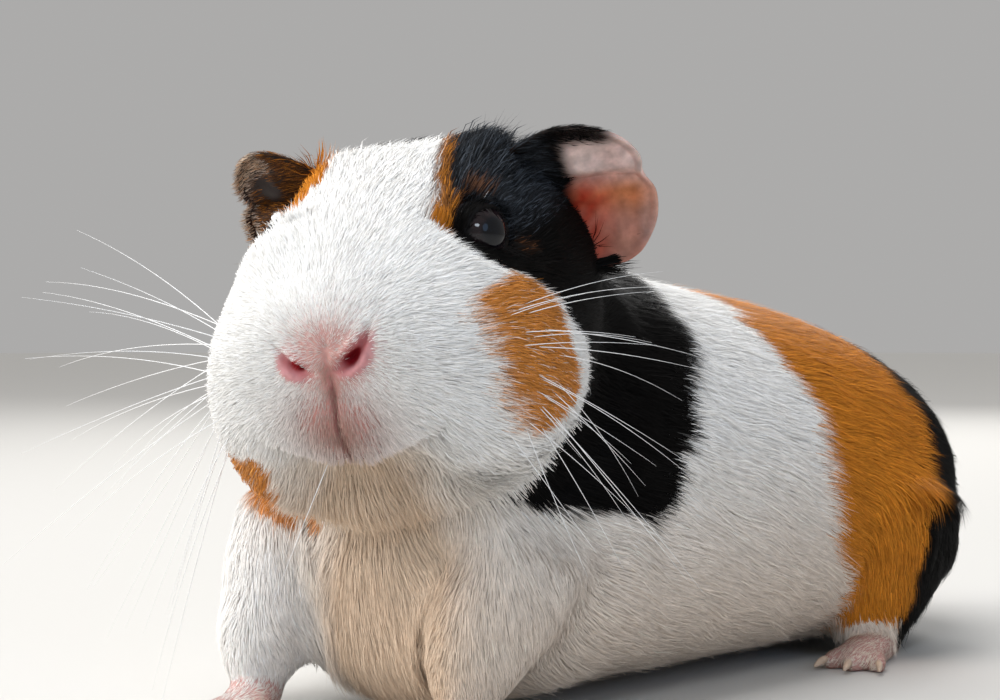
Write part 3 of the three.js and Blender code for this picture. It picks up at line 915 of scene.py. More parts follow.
@dataclass
class Eye:
    """An eyeball with a raised cornea, and the lids around it.

    Attributes:
        side: Which eye it is.
        cornea: How far the cornea stands out of the ball.
        opening: Half angles of the lids' opening, along and upright.
        lid: Thickness of the lids.
        lid_steps: Faces around the lids.
        snug: How far off the ball the skin beside the opening stays.
        pocket: How far the skin sinks into the ball inside the opening.
    """

    side: Side
    cornea: float = 0.35 * MM
    opening: tuple[float, float] = (math.radians(50), math.radians(45))
    lid: float = 0.42 * MM
    lid_steps: int = 84
    snug: float = 0.22 * MM
    pocket: float = 0.8 * MM

    def __post_init__(self) -> None:
        """Reads the eye's place and size from its node, and sets its directions."""
        low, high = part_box(self.node)
        self.centre = np.array((low + high) / 2)
        self.radius = float(max(high - low)) / 2
        self.look = HEAD.way(HEAD.eye_look, self.side)
        forwards = HEAD.way((1.0, 0.0, -0.12))
        self.along = unit(forwards - self.look * (forwards @ self.look))
        self.upright = np.cross(self.along, self.look) * -self.side.value

    @property
    def node(self) -> str:
        """The name of the eye's node."""
        return f"eye_{self.side.word}"

    def _edge(self, around: Array) -> Array:
        """The angle between the look and the lids' edge, at angles around the look."""
        wide, tall = self.opening
        corner = 1.0 + 0.07 * np.abs(np.cos(around)) ** 6
        return corner * wide * tall / np.hypot(tall * np.cos(around), wide * np.sin(around))

    def _on_ball(self, polar: Array, around: Array, radius: Array) -> Array:
        """Places on a ball about the eye's centre, by their angle from the look and around it."""
        aside = np.cos(around)[:, None] * self.along + np.sin(around)[:, None] * self.upright
        ways = np.cos(polar)[:, None] * self.look + np.sin(polar)[:, None] * aside
        return self.centre + radius[:, None] * ways

    def gap(self, points: Array) -> Array:
        """How far outside the lids' edge places lie, along the ball."""
        ways = unit(points - self.centre)
        polar = np.arccos(np.clip(ways @ self.look, -1, 1))
        return (polar - self._edge(np.arctan2(ways @ self.upright, ways @ self.along))) * self.radius

    def reach(self, points: Array) -> Array:
        """How far places lie from the lids' edge, less than nothing inside the opening."""
        gap = self.gap(points)
        height = np.abs(np.linalg.norm(points - self.centre, axis=1) - self.radius)
        return np.where(gap > 0, np.hypot(gap, height), np.maximum(gap, height - 2 * MM))

    def fitted(self, points: Array) -> Array:
        """Skin places moved to sink inside the opening and lie close around it."""
        away = points - self.centre
        distance = np.linalg.norm(away, axis=1)
        gap = self.gap(points)
        near = (distance > 0.3 * self.radius) & (distance < self.radius + 7 * MM) & (gap < 6 * MM)
        outside = np.maximum(gap / MM - 0.7, 0)
        limit = (0.32 + 0.55 * outside + 0.03 * outside ** 3) * MM
        kept = np.clip(distance, self.radius + self.snug, self.radius + limit)
        wanted = np.where(gap < 0.7 * MM, self.radius - self.pocket, kept)
        scale = np.where(near, wanted / np.maximum(distance, 1e-9), 1.0)
        return self.centre + away * scale[:, None]

    def build_ball(self) -> None:
        """Makes the eyeball, dresses it and hands it over."""
        deselect()
        bpy.ops.mesh.primitive_uv_sphere_add(segments=64, ring_count=40, radius=self.radius)
        ball = bpy.context.active_object
        ball.name = f"eyeball_{self.side.word}"
        points = points_of(ball)
        polar = np.arccos(np.clip(points[:, 2] / self.radius, -1, 1))
        around = np.arctan2(points[:, 1], points[:, 0])
        bulge = self.cornea * ease(math.radians(48), math.radians(20), polar)
        move_points(ball, self._on_ball(polar, around, self.radius + bulge))
        tidied(ball)
        bpy.ops.object.shade_smooth()
        angles = np.degrees(polar)
        flecks = 1.0 + 0.35 * np.sin(around * 23) * np.sin(around * 9 + 1)
        iris = ease(24.0, 29.0, angles) * ease(50.0, 42.0, angles)
        set_colour(ball, Tint.PUPIL.rgb + (iris * flecks)[:, None] * Tint.IRIS.rgb)
        hand_over(ball, EYE_FINISH.material(), "eye", self.node)

    def build_lids(self) -> Piece:
        """Makes the ring of both lids around the opening, a closed mesh."""
        around = np.linspace(0, 2 * math.pi, self.lid_steps, endpoint=False)
        section = (
            (-1.0, -0.35), (-0.3, 0.05), (1.5, 0.50), (5.0, 0.86), (10.0, 0.95), (16.0, 0.8), (23.0, 0.3),
            (27.0, -0.9), (12.0, -1.3),
        )
        rows = []
        for degrees, height in section:
            polar = self._edge(around) + math.radians(degrees)
            brow = 1.0 + 0.3 * ease(0.2, 1.0, np.sin(around)) * (height > 0.4)
            rows.append(self._on_ball(polar, around, self.radius + height * brow * self.lid))
        own = np.arange(len(section) * self.lid_steps).reshape(len(section), -1)
        after = np.roll(own, -1, axis=0)
        corners = np.stack([own, after, np.roll(after, -1, axis=1), np.roll(own, -1, axis=1)], axis=2)
        starts = np.arange(own.size) * 4
        ring = mesh_piece(f"lids_{self.side.word}", np.concatenate(rows), corners.ravel(), starts)
        tidied(ring)
        return ring


@dataclass
class Skin:
    """The one skin of the whole animal, from its ears to its toes, under the coat.

    Attributes:
        voxel: Size of the mesh's faces over the body.
        fill: How far the pieces are swollen to close the cuts between them.
        nose_rounds: Where and how far around the nose the faces are split, in millimetres.
        eye_round: How far around an eye they are split.
        shade: How bright the skin is under the coat, 1 being as bright as the coat; the darkening is painted
            shade under the hair.
    """

    voxel: float = 1.1 * MM
    fill: float = 0.32 * MM
    nose_rounds: tuple[tuple[float, float], ...] = ((-9.0, 19.0), (-7.0, 15.5))
    eye_round: float = 8.5 * MM
    shade: float = 0.85

    def build(self, eyes: list[Eye], ears: list[Ear]) -> Piece:
        """Makes the skin.

        Args:
            eyes: The eyes that it closes around.
            ears: The ears that grow from it.

        Returns:
            The skin, coloured, dressed and handed over.
        """
        skin = self._cast()
        self._settle(skin)
        for middle, reach in self.nose_rounds:
            self._refine(skin, HEAD.at(-2.0, 0.0, middle), reach * MM)
        for eye in eyes:
            self._refine(skin, eye.centre + eye.look * 0.7 * eye.radius, self.eye_round)
            move_points(skin, eye.fitted(points_of(skin)))
        relief = Relief(skin)
        relief.push(NOSE.rise(HEAD.on_head(relief.points)))
        for shell in [ear.build() for ear in ears] + [eye.build_lids() for eye in eyes]:
            finish_with(skin, "BOOLEAN", operation="UNION", object=shell, solver="MANIFOLD")
            bpy.data.objects.remove(shell)
        choose(skin)
        bpy.ops.object.shade_smooth()
        self._colour(skin, eyes, ears)
        hand_over(skin, SKIN_FINISH.material(), "bare_skin", *nodes_of(*Region))
        return skin

    def _cast(self) -> Piece:
        """Joins copies of the nodes of flesh and gives them one even mesh."""
        flesh = (region for region in Region if region is not Region.EAR)
        choose(*[copy_of(name, name + "_copy") for name in nodes_of(*flesh)])
        bpy.ops.object.join()
        skin = bpy.context.active_object
        skin.name = skin.data.name = "skin"
        tidied(skin, weld=True, outwards=False)
        finish_with(skin, "DISPLACE", strength=self.fill, mid_level=0.0)
        finish_with(skin, "REMESH", mode="VOXEL", voxel_size=self.voxel)
        return skin

    def _settle(self, skin: Piece) -> None:
        """Evens out the facets and lowers the skin by the depth of the coat."""
        relief = Relief(skin)
        regions = RegionMap(*Region).nearest(relief.points)
        rounds = {
            Region.NOSE: 6, Region.HEAD: 14, Region.JAW: 26, Region.HINDLEG: 20, Region.FOREFOOT: 2,
            Region.HINDFOOT: 2, Region.EAR: 14,
        }
        turns = np.array([rounds.get(region, 50) for region in REGIONS], float)[regions]
        on_leg = among(regions, Region.FORELEG)
        turns = np.where(on_leg, 4.0 + 34.0 * ease(14 * MM, 34 * MM, relief.points[:, 2]), turns)
        relief.relax(relief.spread(turns, 16))
        depth = styled(regions, "depth") * wrist_rule(relief.points, regions)
        depth[among(regions, Region.EAR)] = STYLES[Region.HEAD].depth * MM
        depth = face_rule(
            relief.points, regions, depth, (6, 0.15), (11, 0.4), (18, 0.8), (30, 1.2), (45, 1.6))
        before_eye = bell(gap_to(HEAD.on_head(relief.points), (-23.0, -17.0, 12.0), (9.0, 7.0, 7.5)), 1.0)
        depth = relief.spread(depth, 16) - 3.0 * MM * before_eye
        on_foot = among(regions, *FOOT_REGIONS)
        on_floor = on_foot * ease(3 * MM, 0.5 * MM, relief.points[:, 2]) * (relief.normals[:, 2] < -0.5)
        relief.push(-(depth + self.fill) * (1.0 - on_floor))
        relief.relax(np.minimum(turns, 4.0))
        relief.points[:, 2] = np.maximum(relief.points[:, 2], 0.0)
        relief.refresh()

    @staticmethod
    def _refine(skin: Piece, middle: Array, reach: float) -> None:
        """Splits the faces of the skin within a distance of a place and evens them out."""
        choose(skin)
        near = np.linalg.norm(points_of(skin) - middle, axis=1) < reach
        skin.data.vertices.foreach_set("select", near)
        skin.data.edges.foreach_set("select", np.zeros(len(skin.data.edges), bool))
        skin.data.polygons.foreach_set("select", np.zeros(len(skin.data.polygons), bool))
        bpy.ops.object.mode_set(mode="EDIT")
        bpy.ops.mesh.select_mode(type="VERT")
        bpy.ops.mesh.select_mode(type="FACE")
        bpy.ops.mesh.subdivide(number_cuts=1, smoothness=0.0)
        bpy.ops.object.mode_set(mode="OBJECT")
        relief = Relief(skin)
        away = np.linalg.norm(relief.points - middle, axis=1)
        relief.relax(ease(reach, reach * 0.9, away) * 3.0)

    def _colour(self, skin: Piece, eyes: list[Eye], ears: list[Ear]) -> None:
        """Gives the skin the markings of the coat, and its own colours where it is bare."""
        points, normals = points_of(skin), normals_of(skin)
        regions = RegionMap(*Region).nearest(points)
        # Painted shade: the skin takes the coat's colours, darkened as the shade under the hair.
        colours = MARKINGS.blended(points) * self.shade
        shares = MARKINGS.shares(points)
        pale = shares[Tint.WHITE] + shares[Tint.CREAM_AND_SHADE] + shares[Tint.BLUSH]
        places = HEAD.on_head(points)
        ahead, left, up = (places / MM).T
        front = among(regions, *FACE_REGIONS)

        def tint(amount: Array, colour: Tint) -> None:
            """Lays a colour over the skin."""
            nonlocal colours
            colours = colours + amount[:, None] * (colour.rgb - colours)

        reach = gap_to(places, (-2.0, 0.0, -6.0))
        bare = NOSE.bare(places) * front
        tint(0.35 * ease(26.0, 14.0, reach) * front * pale, Tint.PINK)
        tint(0.95 * NOSE.thin(places) * front, Tint.PINK)
        # Partly painted light and shade: the bare nose is deep rose, paler on the lower wing below each slit
        # and darker on the upper rim.
        tint(0.9 * bare, Tint.ROSE)
        tint(0.85 * bare * NOSE.wing(places), Tint.WING)
        tint(0.8 * NOSE.groove(places) * front, Tint.LIP)
        line = np.abs(up - NOSE.mouth_line(left))
        mouth = ease(1.5, 0.3, line) * front * ease(-16.0, -9.0, ahead) * ease(9.5, 6.5, np.abs(left))
        tint(0.9 * mouth, Tint.LIP)
        pit = ease(0.12, 0.55, NOSE.pit(places)) * front * ease(-14.0, -9.0, ahead)
        tint(pit, Tint.NOSTRIL)
        tint(0.9 * pit * (left < 0) * NOSE.outer(places), Tint.RED)
        tint(0.85 * among(regions, *FOOT_REGIONS), Tint.PINK)
        for eye in eyes:
            tint(ease(3.6 * MM, 2.2 * MM, eye.reach(points)), Tint.DARK_SKIN)
        on_ear = among(regions, Region.EAR)
        for ear in ears:
            own = on_ear & (left * ear.side.value > 0)
            # The ears' hollows take the ear tones, with their painted glow, highlight and shade.
            inner = (ease(-0.25, 0.3, normals @ ear.axes[2]) * own)[:, None]
            colours = colours + inner * (ear.tones(points) - colours)
        set_colour(skin, np.clip(colours, 0.0, 1.0))


def node_in(tree: Tree, kind: str, **values: float) -> bpy.types.ShaderNode:
    """A new node of a tree, its inputs named with _ for a space and set to their values."""
    node = tree.nodes.new("ShaderNode" + kind)
    for name, value in values.items():
        node.inputs[name.replace("_", " ")].default_value = value
    return node


@dataclass(frozen=True)
class Finish:
    """A material built from nodes.

    Attributes:
        name: The material's name.
        roughness: How dull the surface is.
        gloss: Strength of its reflections.
        grain: Scale and detail of the pattern on it, or None where it is plain.
        shades: The factors by which the pattern makes the colour darker and lighter.
        colour: Its own colour, or None where it shows the colour stored on the piece.
        bump: How far and how strongly the pattern raises the surface, or None.
        others: Further values of the shader's inputs.
    """

    name: str
    roughness: float
    gloss: float
    grain: tuple[float, float] | None = None
    shades: tuple[float, float] = (0.94, 1.06)
    colour: Triple | None = None
    bump: tuple[float, float] | None = None
    others: dict[str, float | Triple] = field(default_factory=dict)

    def material(self) -> Material:
        """Makes the material."""
        made = bpy.data.materials.new(self.name)
        made.use_nodes = True
        tree, link = made.node_tree, made.node_tree.links.new
        shader = next(node for node in tree.nodes if node.type == "BSDF_PRINCIPLED")
        values = {"Roughness": self.roughness, "Specular IOR Level": self.gloss, **self.others}
        for name, value in values.items():
            shader.inputs[name].default_value = value
        if self.grain is None:
            shader.inputs["Base Color"].default_value = (*self.colour, 1.0)
            return made
        noise = node_in(tree, "TexNoise", Scale=self.grain[0], Detail=self.grain[1])
        link(node_in(tree, "TexCoord").outputs["Object"], noise.inputs["Vector"])
        low, high = self.shades
        spread = node_in(tree, "MapRange", From_Min=0.3, From_Max=0.7, To_Min=low, To_Max=high)
        link(noise.outputs["Fac"], spread.inputs["Value"])
        scaled = node_in(tree, "VectorMath")
        scaled.operation = "SCALE"
        link(self._colour_in(tree), scaled.inputs[0])
        link(spread.outputs["Result"], scaled.inputs["Scale"])
        link(scaled.outputs["Vector"], shader.inputs["Base Color"])
        if self.bump:
            raised = node_in(tree, "Bump", Distance=self.bump[0], Strength=self.bump[1])
            link(noise.outputs["Fac"], raised.inputs["Height"])
            link(raised.outputs["Normal"], shader.inputs["Normal"])
        return made

    def _colour_in(self, tree: Tree) -> bpy.types.NodeSocket:
        """The socket that gives the finish's own colour or the stored one."""
        if self.colour:
            tone = node_in(tree, "RGB")
            tone.outputs[0].default_value = (*self.colour, 1.0)
            return tone.outputs[0]
        stored = node_in(tree, "Attribute")
        stored.attribute_name = COLOUR_LAYER
        return stored.outputs["Color"]


FUR_FINISH = Finish(
    "fur", 0.5, 0.04, grain=(420.0, 3.0), others={"Sheen Weight": 0.01, "Sheen Roughness": 0.5})
WHISKER_FINISH = replace(FUR_FINISH, name="whisker", roughness=0.3, others={"Sheen Roughness": 0.5})
SKIN_FINISH = Finish(
    "bare_skin", 0.55, 0.12, grain=(900.0, 3.0), shades=(0.88, 1.1), bump=(0.08 * MM, 0.8), others={
        "Subsurface Weight": 0.25, "Subsurface Radius": (0.0022, 0.0008, 0.0005), "Subsurface Scale": 1.0})
EYE_FINISH = Finish(
    "eye", 0.05, 0.28, grain=(700.0, 5.0), shades=(0.6, 1.4),
    others={"Coat Weight": 0.1, "Coat Roughness": 0.02})
HORN_FINISH = Finish(
    "claw", 0.34, 0.5, grain=(500.0, 3.0), shades=(0.8, 1.15), colour=(0.62, 0.46, 0.34),
    bump=(0.05 * MM, 0.6))
FLOOR_FINISH = Finish("studio_floor", 0.9, 0.1, colour=(0.62, 0.61, 0.59))


@dataclass(frozen=True)
class CoatPiece:
    """One piece of the coat.

    Attributes:
        name: The piece's name.
        regions: The regions that it grows on.
        tufts: How many tufts it has.
        low: The lowest place that it takes, as (axis number, value in metres), or None.
        high: The place that it stays below, in the same form, or None.
        on_head: Whether those places and the unwrap follow the head's directions.
        ruffle: How unruly the tufts are, 1 being ruffled and 0 quite smooth.
    """

    name: str
    regions: tuple[Region, ...]
    tufts: int
    low: tuple[int, float] | None = None
    high: tuple[int, float] | None = None
    on_head: bool = False
    ruffle: float = 0.45


COAT_PIECES = (
    CoatPiece("coat_muzzle", FACE_REGIONS, 64000, low=(0, -25 * MM), on_head=True, ruffle=1.2),
    CoatPiece(
        "coat_crown", FACE_REGIONS, 44000, low=(2, 2 * MM), high=(0, -25 * MM), on_head=True, ruffle=1.05),
    CoatPiece("coat_cheeks", FACE_REGIONS, 56000, high=(0, -25 * MM), on_head=True, ruffle=0.8),
    CoatPiece("coat_neck", (Region.NECK,), 50000),
    CoatPiece("coat_chest", (Region.CHEST,), 48000),
    CoatPiece("coat_flank_left", (Region.TRUNK,), 52000, low=(0, 0.0)),
    CoatPiece("coat_flank_right", (Region.TRUNK,), 46000, high=(0, 0.0)),
    CoatPiece("coat_rump", (Region.RUMP,), 56000),
    CoatPiece("coat_forelegs", (Region.FORELEG,), 24000),
    CoatPiece("coat_hindlegs", (Region.HINDLEG,), 26000),
    CoatPiece("coat_feet", FOOT_REGIONS, 9000),
    CoatPiece("coat_ears", (Region.EAR,), 12000),
)


# A tuft is a quad and a triangle on five points: where they lie along it and aside, and the faces' corners.
TUFT_ALONG = np.array([0.0, 0.0, 0.5, 0.5, 1.0])
TUFT_ASIDE = np.array([-0.9, 0.9, -0.9, 0.9, 0.0])
TUFT_CORNERS = np.array([0, 2, 3, 1, 2, 4, 3])
TUFT_STARTS = np.array([0, 4])


@dataclass
class Coat:
    """The fur: tufts that grow from the skin and lie as the hair is combed.

    Attributes:
        skin: The skin that it grows on.
        eyes: The eyes that it leaves free.
        ears: The ears, whose hollows it leaves nearly free.
        seed: The draw that the tufts come from.
        patch: Size of a tuft on the bake map.
        guards: The share of the tufts that are guard hairs.
        guard_size: How much longer a guard hair is, and how much higher it stands.
        sunk: How deep a tuft's root sits in the skin.
        off_floor: How far the coat stays above the floor.
        root_shade: How much darker a ruffled tuft is painted at its root, as painted shade among the hair.
    """

    skin: Piece
    eyes: list[Eye]
    ears: list[Ear]
    seed: int = 11
    patch: float = 0.003
    guards: float = 0.03
    guard_size: tuple[float, float] = (1.25, 1.35)
    sunk: float = 0.12 * MM
    off_floor: float = 0.05 * MM
    root_shade: float = 0.2

    def build(self) -> None:
        """Grows every piece of the coat."""
        self._survey()
        taken = np.zeros(len(self.corners), bool)
        finish = FUR_FINISH.material()
        for number, plan in enumerate(COAT_PIECES):
            mine = self._faces_of(plan) & ~taken
            taken |= mine
            self._grow(plan, np.nonzero(mine)[0], np.random.default_rng(self.seed + number), finish)

    def _survey(self) -> None:
        """Reads the skin: its triangles, regions and how the hair grows at each vertex."""
        relief = Relief(self.skin)
        mesh = self.skin.data
        mesh.calc_loop_triangles()
        self.corners = gathered(mesh.loop_triangles, "vertices", kind=np.int32)
        self.points, self.normals = relief.points, unit(relief.normals)
        self.regions = RegionMap(*Region).nearest(self.points)
        one, two, three = (self.points[self.corners[:, k]] for k in range(3))
        self.areas = np.linalg.norm(np.cross(two - one, three - one), axis=1) / 2
        self.places = HEAD.on_head(self.points)
        self.ahead, self.left, self.up = (self.places / MM).T
        self.lip_line = self.up - NOSE.mouth_line(self.left)
        self.on_face = among(self.regions, *FACE_REGIONS)
        self.on_ear = among(self.regions, Region.EAR)
        self.eye_reach = np.minimum.reduce([eye.reach(self.points) for eye in self.eyes])
        self.length = relief.spread(self._lengths(), 6)
        self.width = relief.spread(self._widths(), 10)
        self.depth = relief.spread(self._depths(), 6)
        self.comb = self._combed(relief)
        self.bend = self._curvature(relief)
        self.density = self._density()

    def _own_ear(self, ear: Ear) -> Array:
        """Which vertices belong to an ear."""
        return self.on_ear & (self.left * ear.side.value > 0)

    def _lengths(self) -> Array:
        """The length of the hair at each vertex."""
        length = face_rule(
            self.points, self.regions, styled(self.regions, "length"),
            (5, 1.1), (9, 1.7), (14, 2.9), (22, 4.6), (34, 6.4), (50, 8.5))
        length = length * np.where(among(self.regions, Region.JAW), 1.35, 1.0)
        length *= wrist_rule(self.points, self.regions)
        length *= 0.32 + 0.68 * ease(0.8 * MM, 9 * MM, self.eye_reach)
        lip = self.on_face & (self.ahead > -14) & (np.abs(self.left) < 13) & (self.lip_line > -0.3)
        length = np.where(lip, np.minimum(length, (np.maximum(self.lip_line, 0) + 1.1) * MM), length)
        for ear in self.ears:
            out = np.linalg.norm(ear.on_ear(self.points), axis=1)
            length = np.where(self.on_ear, length, length * (0.6 + 0.4 * ease(9.0, 18.0, out)))
            length = length * (1.0 + 1.1 * self._own_ear(ear) * ease(11.0, 6.0, out))
        return length + 6.0 * MM * self._crest() + 3.5 * MM * self._hang()

    def _crest(self) -> Array:
        """How much the fluff before each ear's upper root stands up at each vertex, from 0 to 1."""
        left, right = (bell(gap_to(self.places, (-50, aside, 21), (9, 6.5, 9)), 1.0) for aside in (15, -15))
        return left + 0.45 * right

    def _hang(self) -> Array:
        """How freely the hair under the jaw hangs at each vertex, from 0 to 1."""
        return self.on_face * ease(-20.0, -27.0, self.up)

    def _widths(self) -> Array:
        """The width of a tuft at each vertex."""
        return face_rule(
            self.points, self.regions, styled(self.regions, "width"),
            (5, 0.075), (12, 0.10), (22, 0.135), (40, 0.175))

    def _depths(self) -> Array:
        """The height of the tips over the skin at each vertex."""
        depth = face_rule(
            self.points, self.regions,
            styled(self.regions, "depth") * wrist_rule(self.points, self.regions),
            (6, 0.2), (11, 0.5), (18, 0.9), (30, 1.3), (45, 1.6))
        depth = depth * (0.25 + 0.75 * ease(0.8 * MM, 5 * MM, self.eye_reach))
        depth += 6.0 * MM * self._crest() + 1.6 * MM * self._hang()
        return np.where(self.on_ear, 0.35 * MM, depth)

    def _combed(self, relief: Relief) -> Array:
        """The way the hair lies at each vertex, flat on the skin."""
        ways = styled(self.regions, "comb")
        from_nose = unit(self.points - HEAD.at(-3.0, 0.0, 0.5))
        from_nose = unit(from_nose + self._hang()[:, None] * np.array([0.0, 0.2, -0.8]))
        ways[self.on_face] = from_nose[self.on_face]
        for ear in self.ears:
            ways[self._own_ear(ear)] = ear.axes[0]
        for eye in self.eyes:
            away = self.points - eye.centre
            near = ease(11 * MM, 6.5 * MM, np.linalg.norm(away, axis=1))[:, None]
            ways = unit(ways) + (0.8 if eye.side is Side.LEFT else 0.3) * near * unit(away)
        ways = relief.spread(unit(ways), 24)
        return flat_across(ways, self.normals)

    def _curvature(self, relief: Relief) -> Array:
        """How strongly the skin falls away along the hair at each vertex, in 1/metre."""
        steps = self.points[relief.ends] - self.points[relief.starts]
        turns = self.normals[relief.ends] - self.normals[relief.starts]
        along = np.sum(steps * self.comb[relief.starts], axis=1)
        weight = along * along
        bend = np.sum(turns * self.comb[relief.starts], axis=1) * along
        total = np.bincount(relief.starts, weight, len(self.points))
        value = np.bincount(relief.starts, bend, len(self.points)) / np.maximum(total, 1e-14)
        return relief.spread(np.clip(value, -25, 110), 30) * (1.0 - 0.6 * self._hang())

    def _density(self) -> Array:
        """How thickly the hair grows at each vertex, 1 being full."""
        density = ease(0.4 * MM, 1.6 * MM, self.eye_reach)
        density *= 1.0 - self.on_face * np.minimum(1.06 * NOSE.bare(self.places), 1.0)
        density *= 1.0 - 0.65 * self.on_face * NOSE.thin(self.places)
        gap = ease(-2.4, -1.2, self.lip_line) * ease(0.4, 0.0, self.lip_line) * ease(-18.0, -12.0, self.ahead)
        density *= 1.0 - 0.93 * gap * self.on_face * ease(13.0, 9.0, np.abs(self.left))
        reach = gap_to(self.places, (-2.0, 0.0, -4.0))
        density *= np.where(self.on_face, 1.0 + 1.5 * ease(32.0, 12.0, reach), 1.0)
        for ear in self.ears:
            out, up, _ = ear.on_ear(self.points).T
            inner = ease(-0.15, 0.25, self.normals @ ear.axes[2])
            furred = np.maximum(ease(8.5, 5.5, out), ease(9.5, 12.0, up) * ease(22.0, 17.0, out))
            if ear.side is Side.RIGHT:
                furred = np.maximum(furred, 0.8 * ease(2.0, 4.5, np.hypot(out - 13.0, up - 5.0)))
            kept = np.maximum(ease(0.6, 0.0, inner), furred)
            if ear.side is Side.LEFT:
                kept = kept * (1.0 - ease(14.0, 18.0, out + 0.4 * np.maximum(-up, 0)))
                kept *= 1.0 - ease(-7.5, -9.5, up) * ease(3.0, 6.0, out)
            density *= np.where(self._own_ear(ear), kept, 1.0)
        under = ease(0.6, 0.9, -self.normals[:, 2]) * ease(9 * MM, 4 * MM, self.points[:, 2])
        density *= (ease(0.2 * MM, 1.0 * MM, self.points[:, 2]) * 0.95 + 0.05) * (1.0 - 0.75 * under)
        return density

    def _faces_of(self, plan: CoatPiece) -> Array:
        """Which triangles of the skin a piece of the coat grows on."""
        mine = among(self.regions[self.corners[:, 0]], *plan.regions)
        places = self.places if plan.on_head else self.points
        middle = places[self.corners].mean(axis=1)
        if plan.low:
            mine &= middle[:, plan.low[0]] >= plan.low[1]
        if plan.high:
            mine &= middle[:, plan.high[0]] < plan.high[1]
        return mine

    def _grow(self, plan: CoatPiece, faces: Array, rng: Draw,
              finish: Material) -> None:
        """Grows one piece of the coat.

        Args:
            plan: What the piece is like.
            faces: The triangles of the skin that it grows on.
            rng: The draw that its tufts come from.
            finish: The material of the fur.
        """
        corners = self.corners[faces]
        weight = self.areas[faces] * self.density[corners].mean(axis=1)
        chosen = rng.choice(len(faces), plan.tufts, p=weight / weight.sum())
        shares = rng.dirichlet((1.0, 1.0, 1.0), plan.tufts)
        own = corners[chosen]

        def at_root(values: Array) -> Array:
            """The values of the vertices at each tuft's root."""
            mixed = values[own] * (shares if values.ndim == 1 else shares[:, :, None])
            return mixed.sum(axis=1)

        roots = at_root(self.points)
        normals = unit(at_root(self.normals))
        ways = flat_across(at_root(self.comb), normals)
        aside = np.cross(normals, ways)
        swirl = 0.13 * ripple(roots, 16 * MM, 21) + 0.06 * ripple(roots, 4 * MM, 22)
        swirl += rng.normal(0, 0.08 * plan.ruffle, plan.tufts)
        ways = unit(ways + swirl[:, None] * aside)
        aside = np.cross(normals, ways)
        guard = rng.random(plan.tufts) < self.guards
        longer, higher = (np.where(guard, size, 1.0) for size in self.guard_size)
        length = at_root(self.length) * rng.uniform(0.7, 1.15, plan.tufts) * longer
        height = at_root(self.depth) * np.clip(rng.normal(0.92, 0.16 * plan.ruffle, plan.tufts), 0.4, 1.3)
        height *= higher
        half = 0.5 * at_root(self.width) * rng.uniform(0.75, 1.25, plan.tufts)
        roll = rng.normal(0, 0.22 * plan.ruffle, plan.tufts)[:, None]
        across = aside * np.cos(roll) + normals * np.sin(roll)
        curl = rng.normal(0, 0.05, plan.tufts)
        bend = at_root(self.bend)
        rows = []
        for along, girth in zip(TUFT_ALONG, TUFT_ASIDE):
            reach = length * along
            rise = height * (1 - (1 - along) ** 2.4 - 0.15 * along * along) - 0.5 * bend * reach * reach
            line = roots + reach[:, None] * ways + (rise - self.sunk * (along == 0))[:, None] * normals
            line += (curl * along * reach)[:, None] * aside
            rows.append(line + across * (half * girth)[:, None])
        points = np.stack(rows, axis=1)
        points[:, :, 2] = np.maximum(points[:, :, 2], self.off_floor)
        base = np.minimum(MARKINGS.picked(roots + 0.6 * length[:, None] * ways, rng), 0.95)
        # Painted shade: each tuft is darker towards its root, more so where the coat is ruffled.
        light = 1.0 - self.root_shade * min(plan.ruffle, 0.6) * (1.0 - TUFT_ALONG)
        self._make(plan, points, base[:, None, :] * light[None, :, None], roots, finish)

    def _make(self, plan: CoatPiece, points: Array, colours: Array, roots: Array,
              finish: Material) -> None:
        """Turns the tufts' points into a piece with faces, colours and its bake map."""
        first = np.arange(len(points))[:, None]
        corners = (first * len(TUFT_ALONG) + TUFT_CORNERS).ravel()
        starts = (first * len(TUFT_CORNERS) + TUFT_STARTS).ravel()
        piece = mesh_piece(plan.name, points.reshape(-1, 3), corners, starts)
        set_colour(piece, colours.reshape(-1, 3))
        spot = np.stack([0.5 * np.sign(TUFT_ASIDE), TUFT_ALONG - 0.5], axis=1) * self.patch
        map_points = self._unwrapped(plan, roots)[:, None, :] + spot[None, :, :]
        layer = piece.data.uv_layers.new(name="OFBake")
        layer.data.foreach_set("uv", map_points.reshape(-1, 2)[corners].astype(np.float32).ravel())
        hand_over(piece, finish, "coat")

    def _unwrapped(self, plan: CoatPiece, roots: Array) -> Array:
        """The roots' places on the skin rolled out flat, filling the bake map."""
        places = HEAD.on_head(roots) if plan.on_head else roots
        upright_limb = plan.regions[0] in (Region.FORELEG, Region.HINDLEG)
        ahead = places[:, 0 if plan.on_head else (2 if upright_limb else 1)]
        around_axes = (1, 2) if plan.on_head else ((0, 1) if upright_limb else (0, 2))
        middle = (places.min(axis=0) + places.max(axis=0)) / 2
        one, other = (places[:, axis] - middle[axis] for axis in around_axes)
        spread = np.stack([np.arctan2(one, other), ahead], axis=1)
        low, high = spread.min(axis=0), spread.max(axis=0)
        return 0.01 + 0.98 * (spread - low) / (high - low)


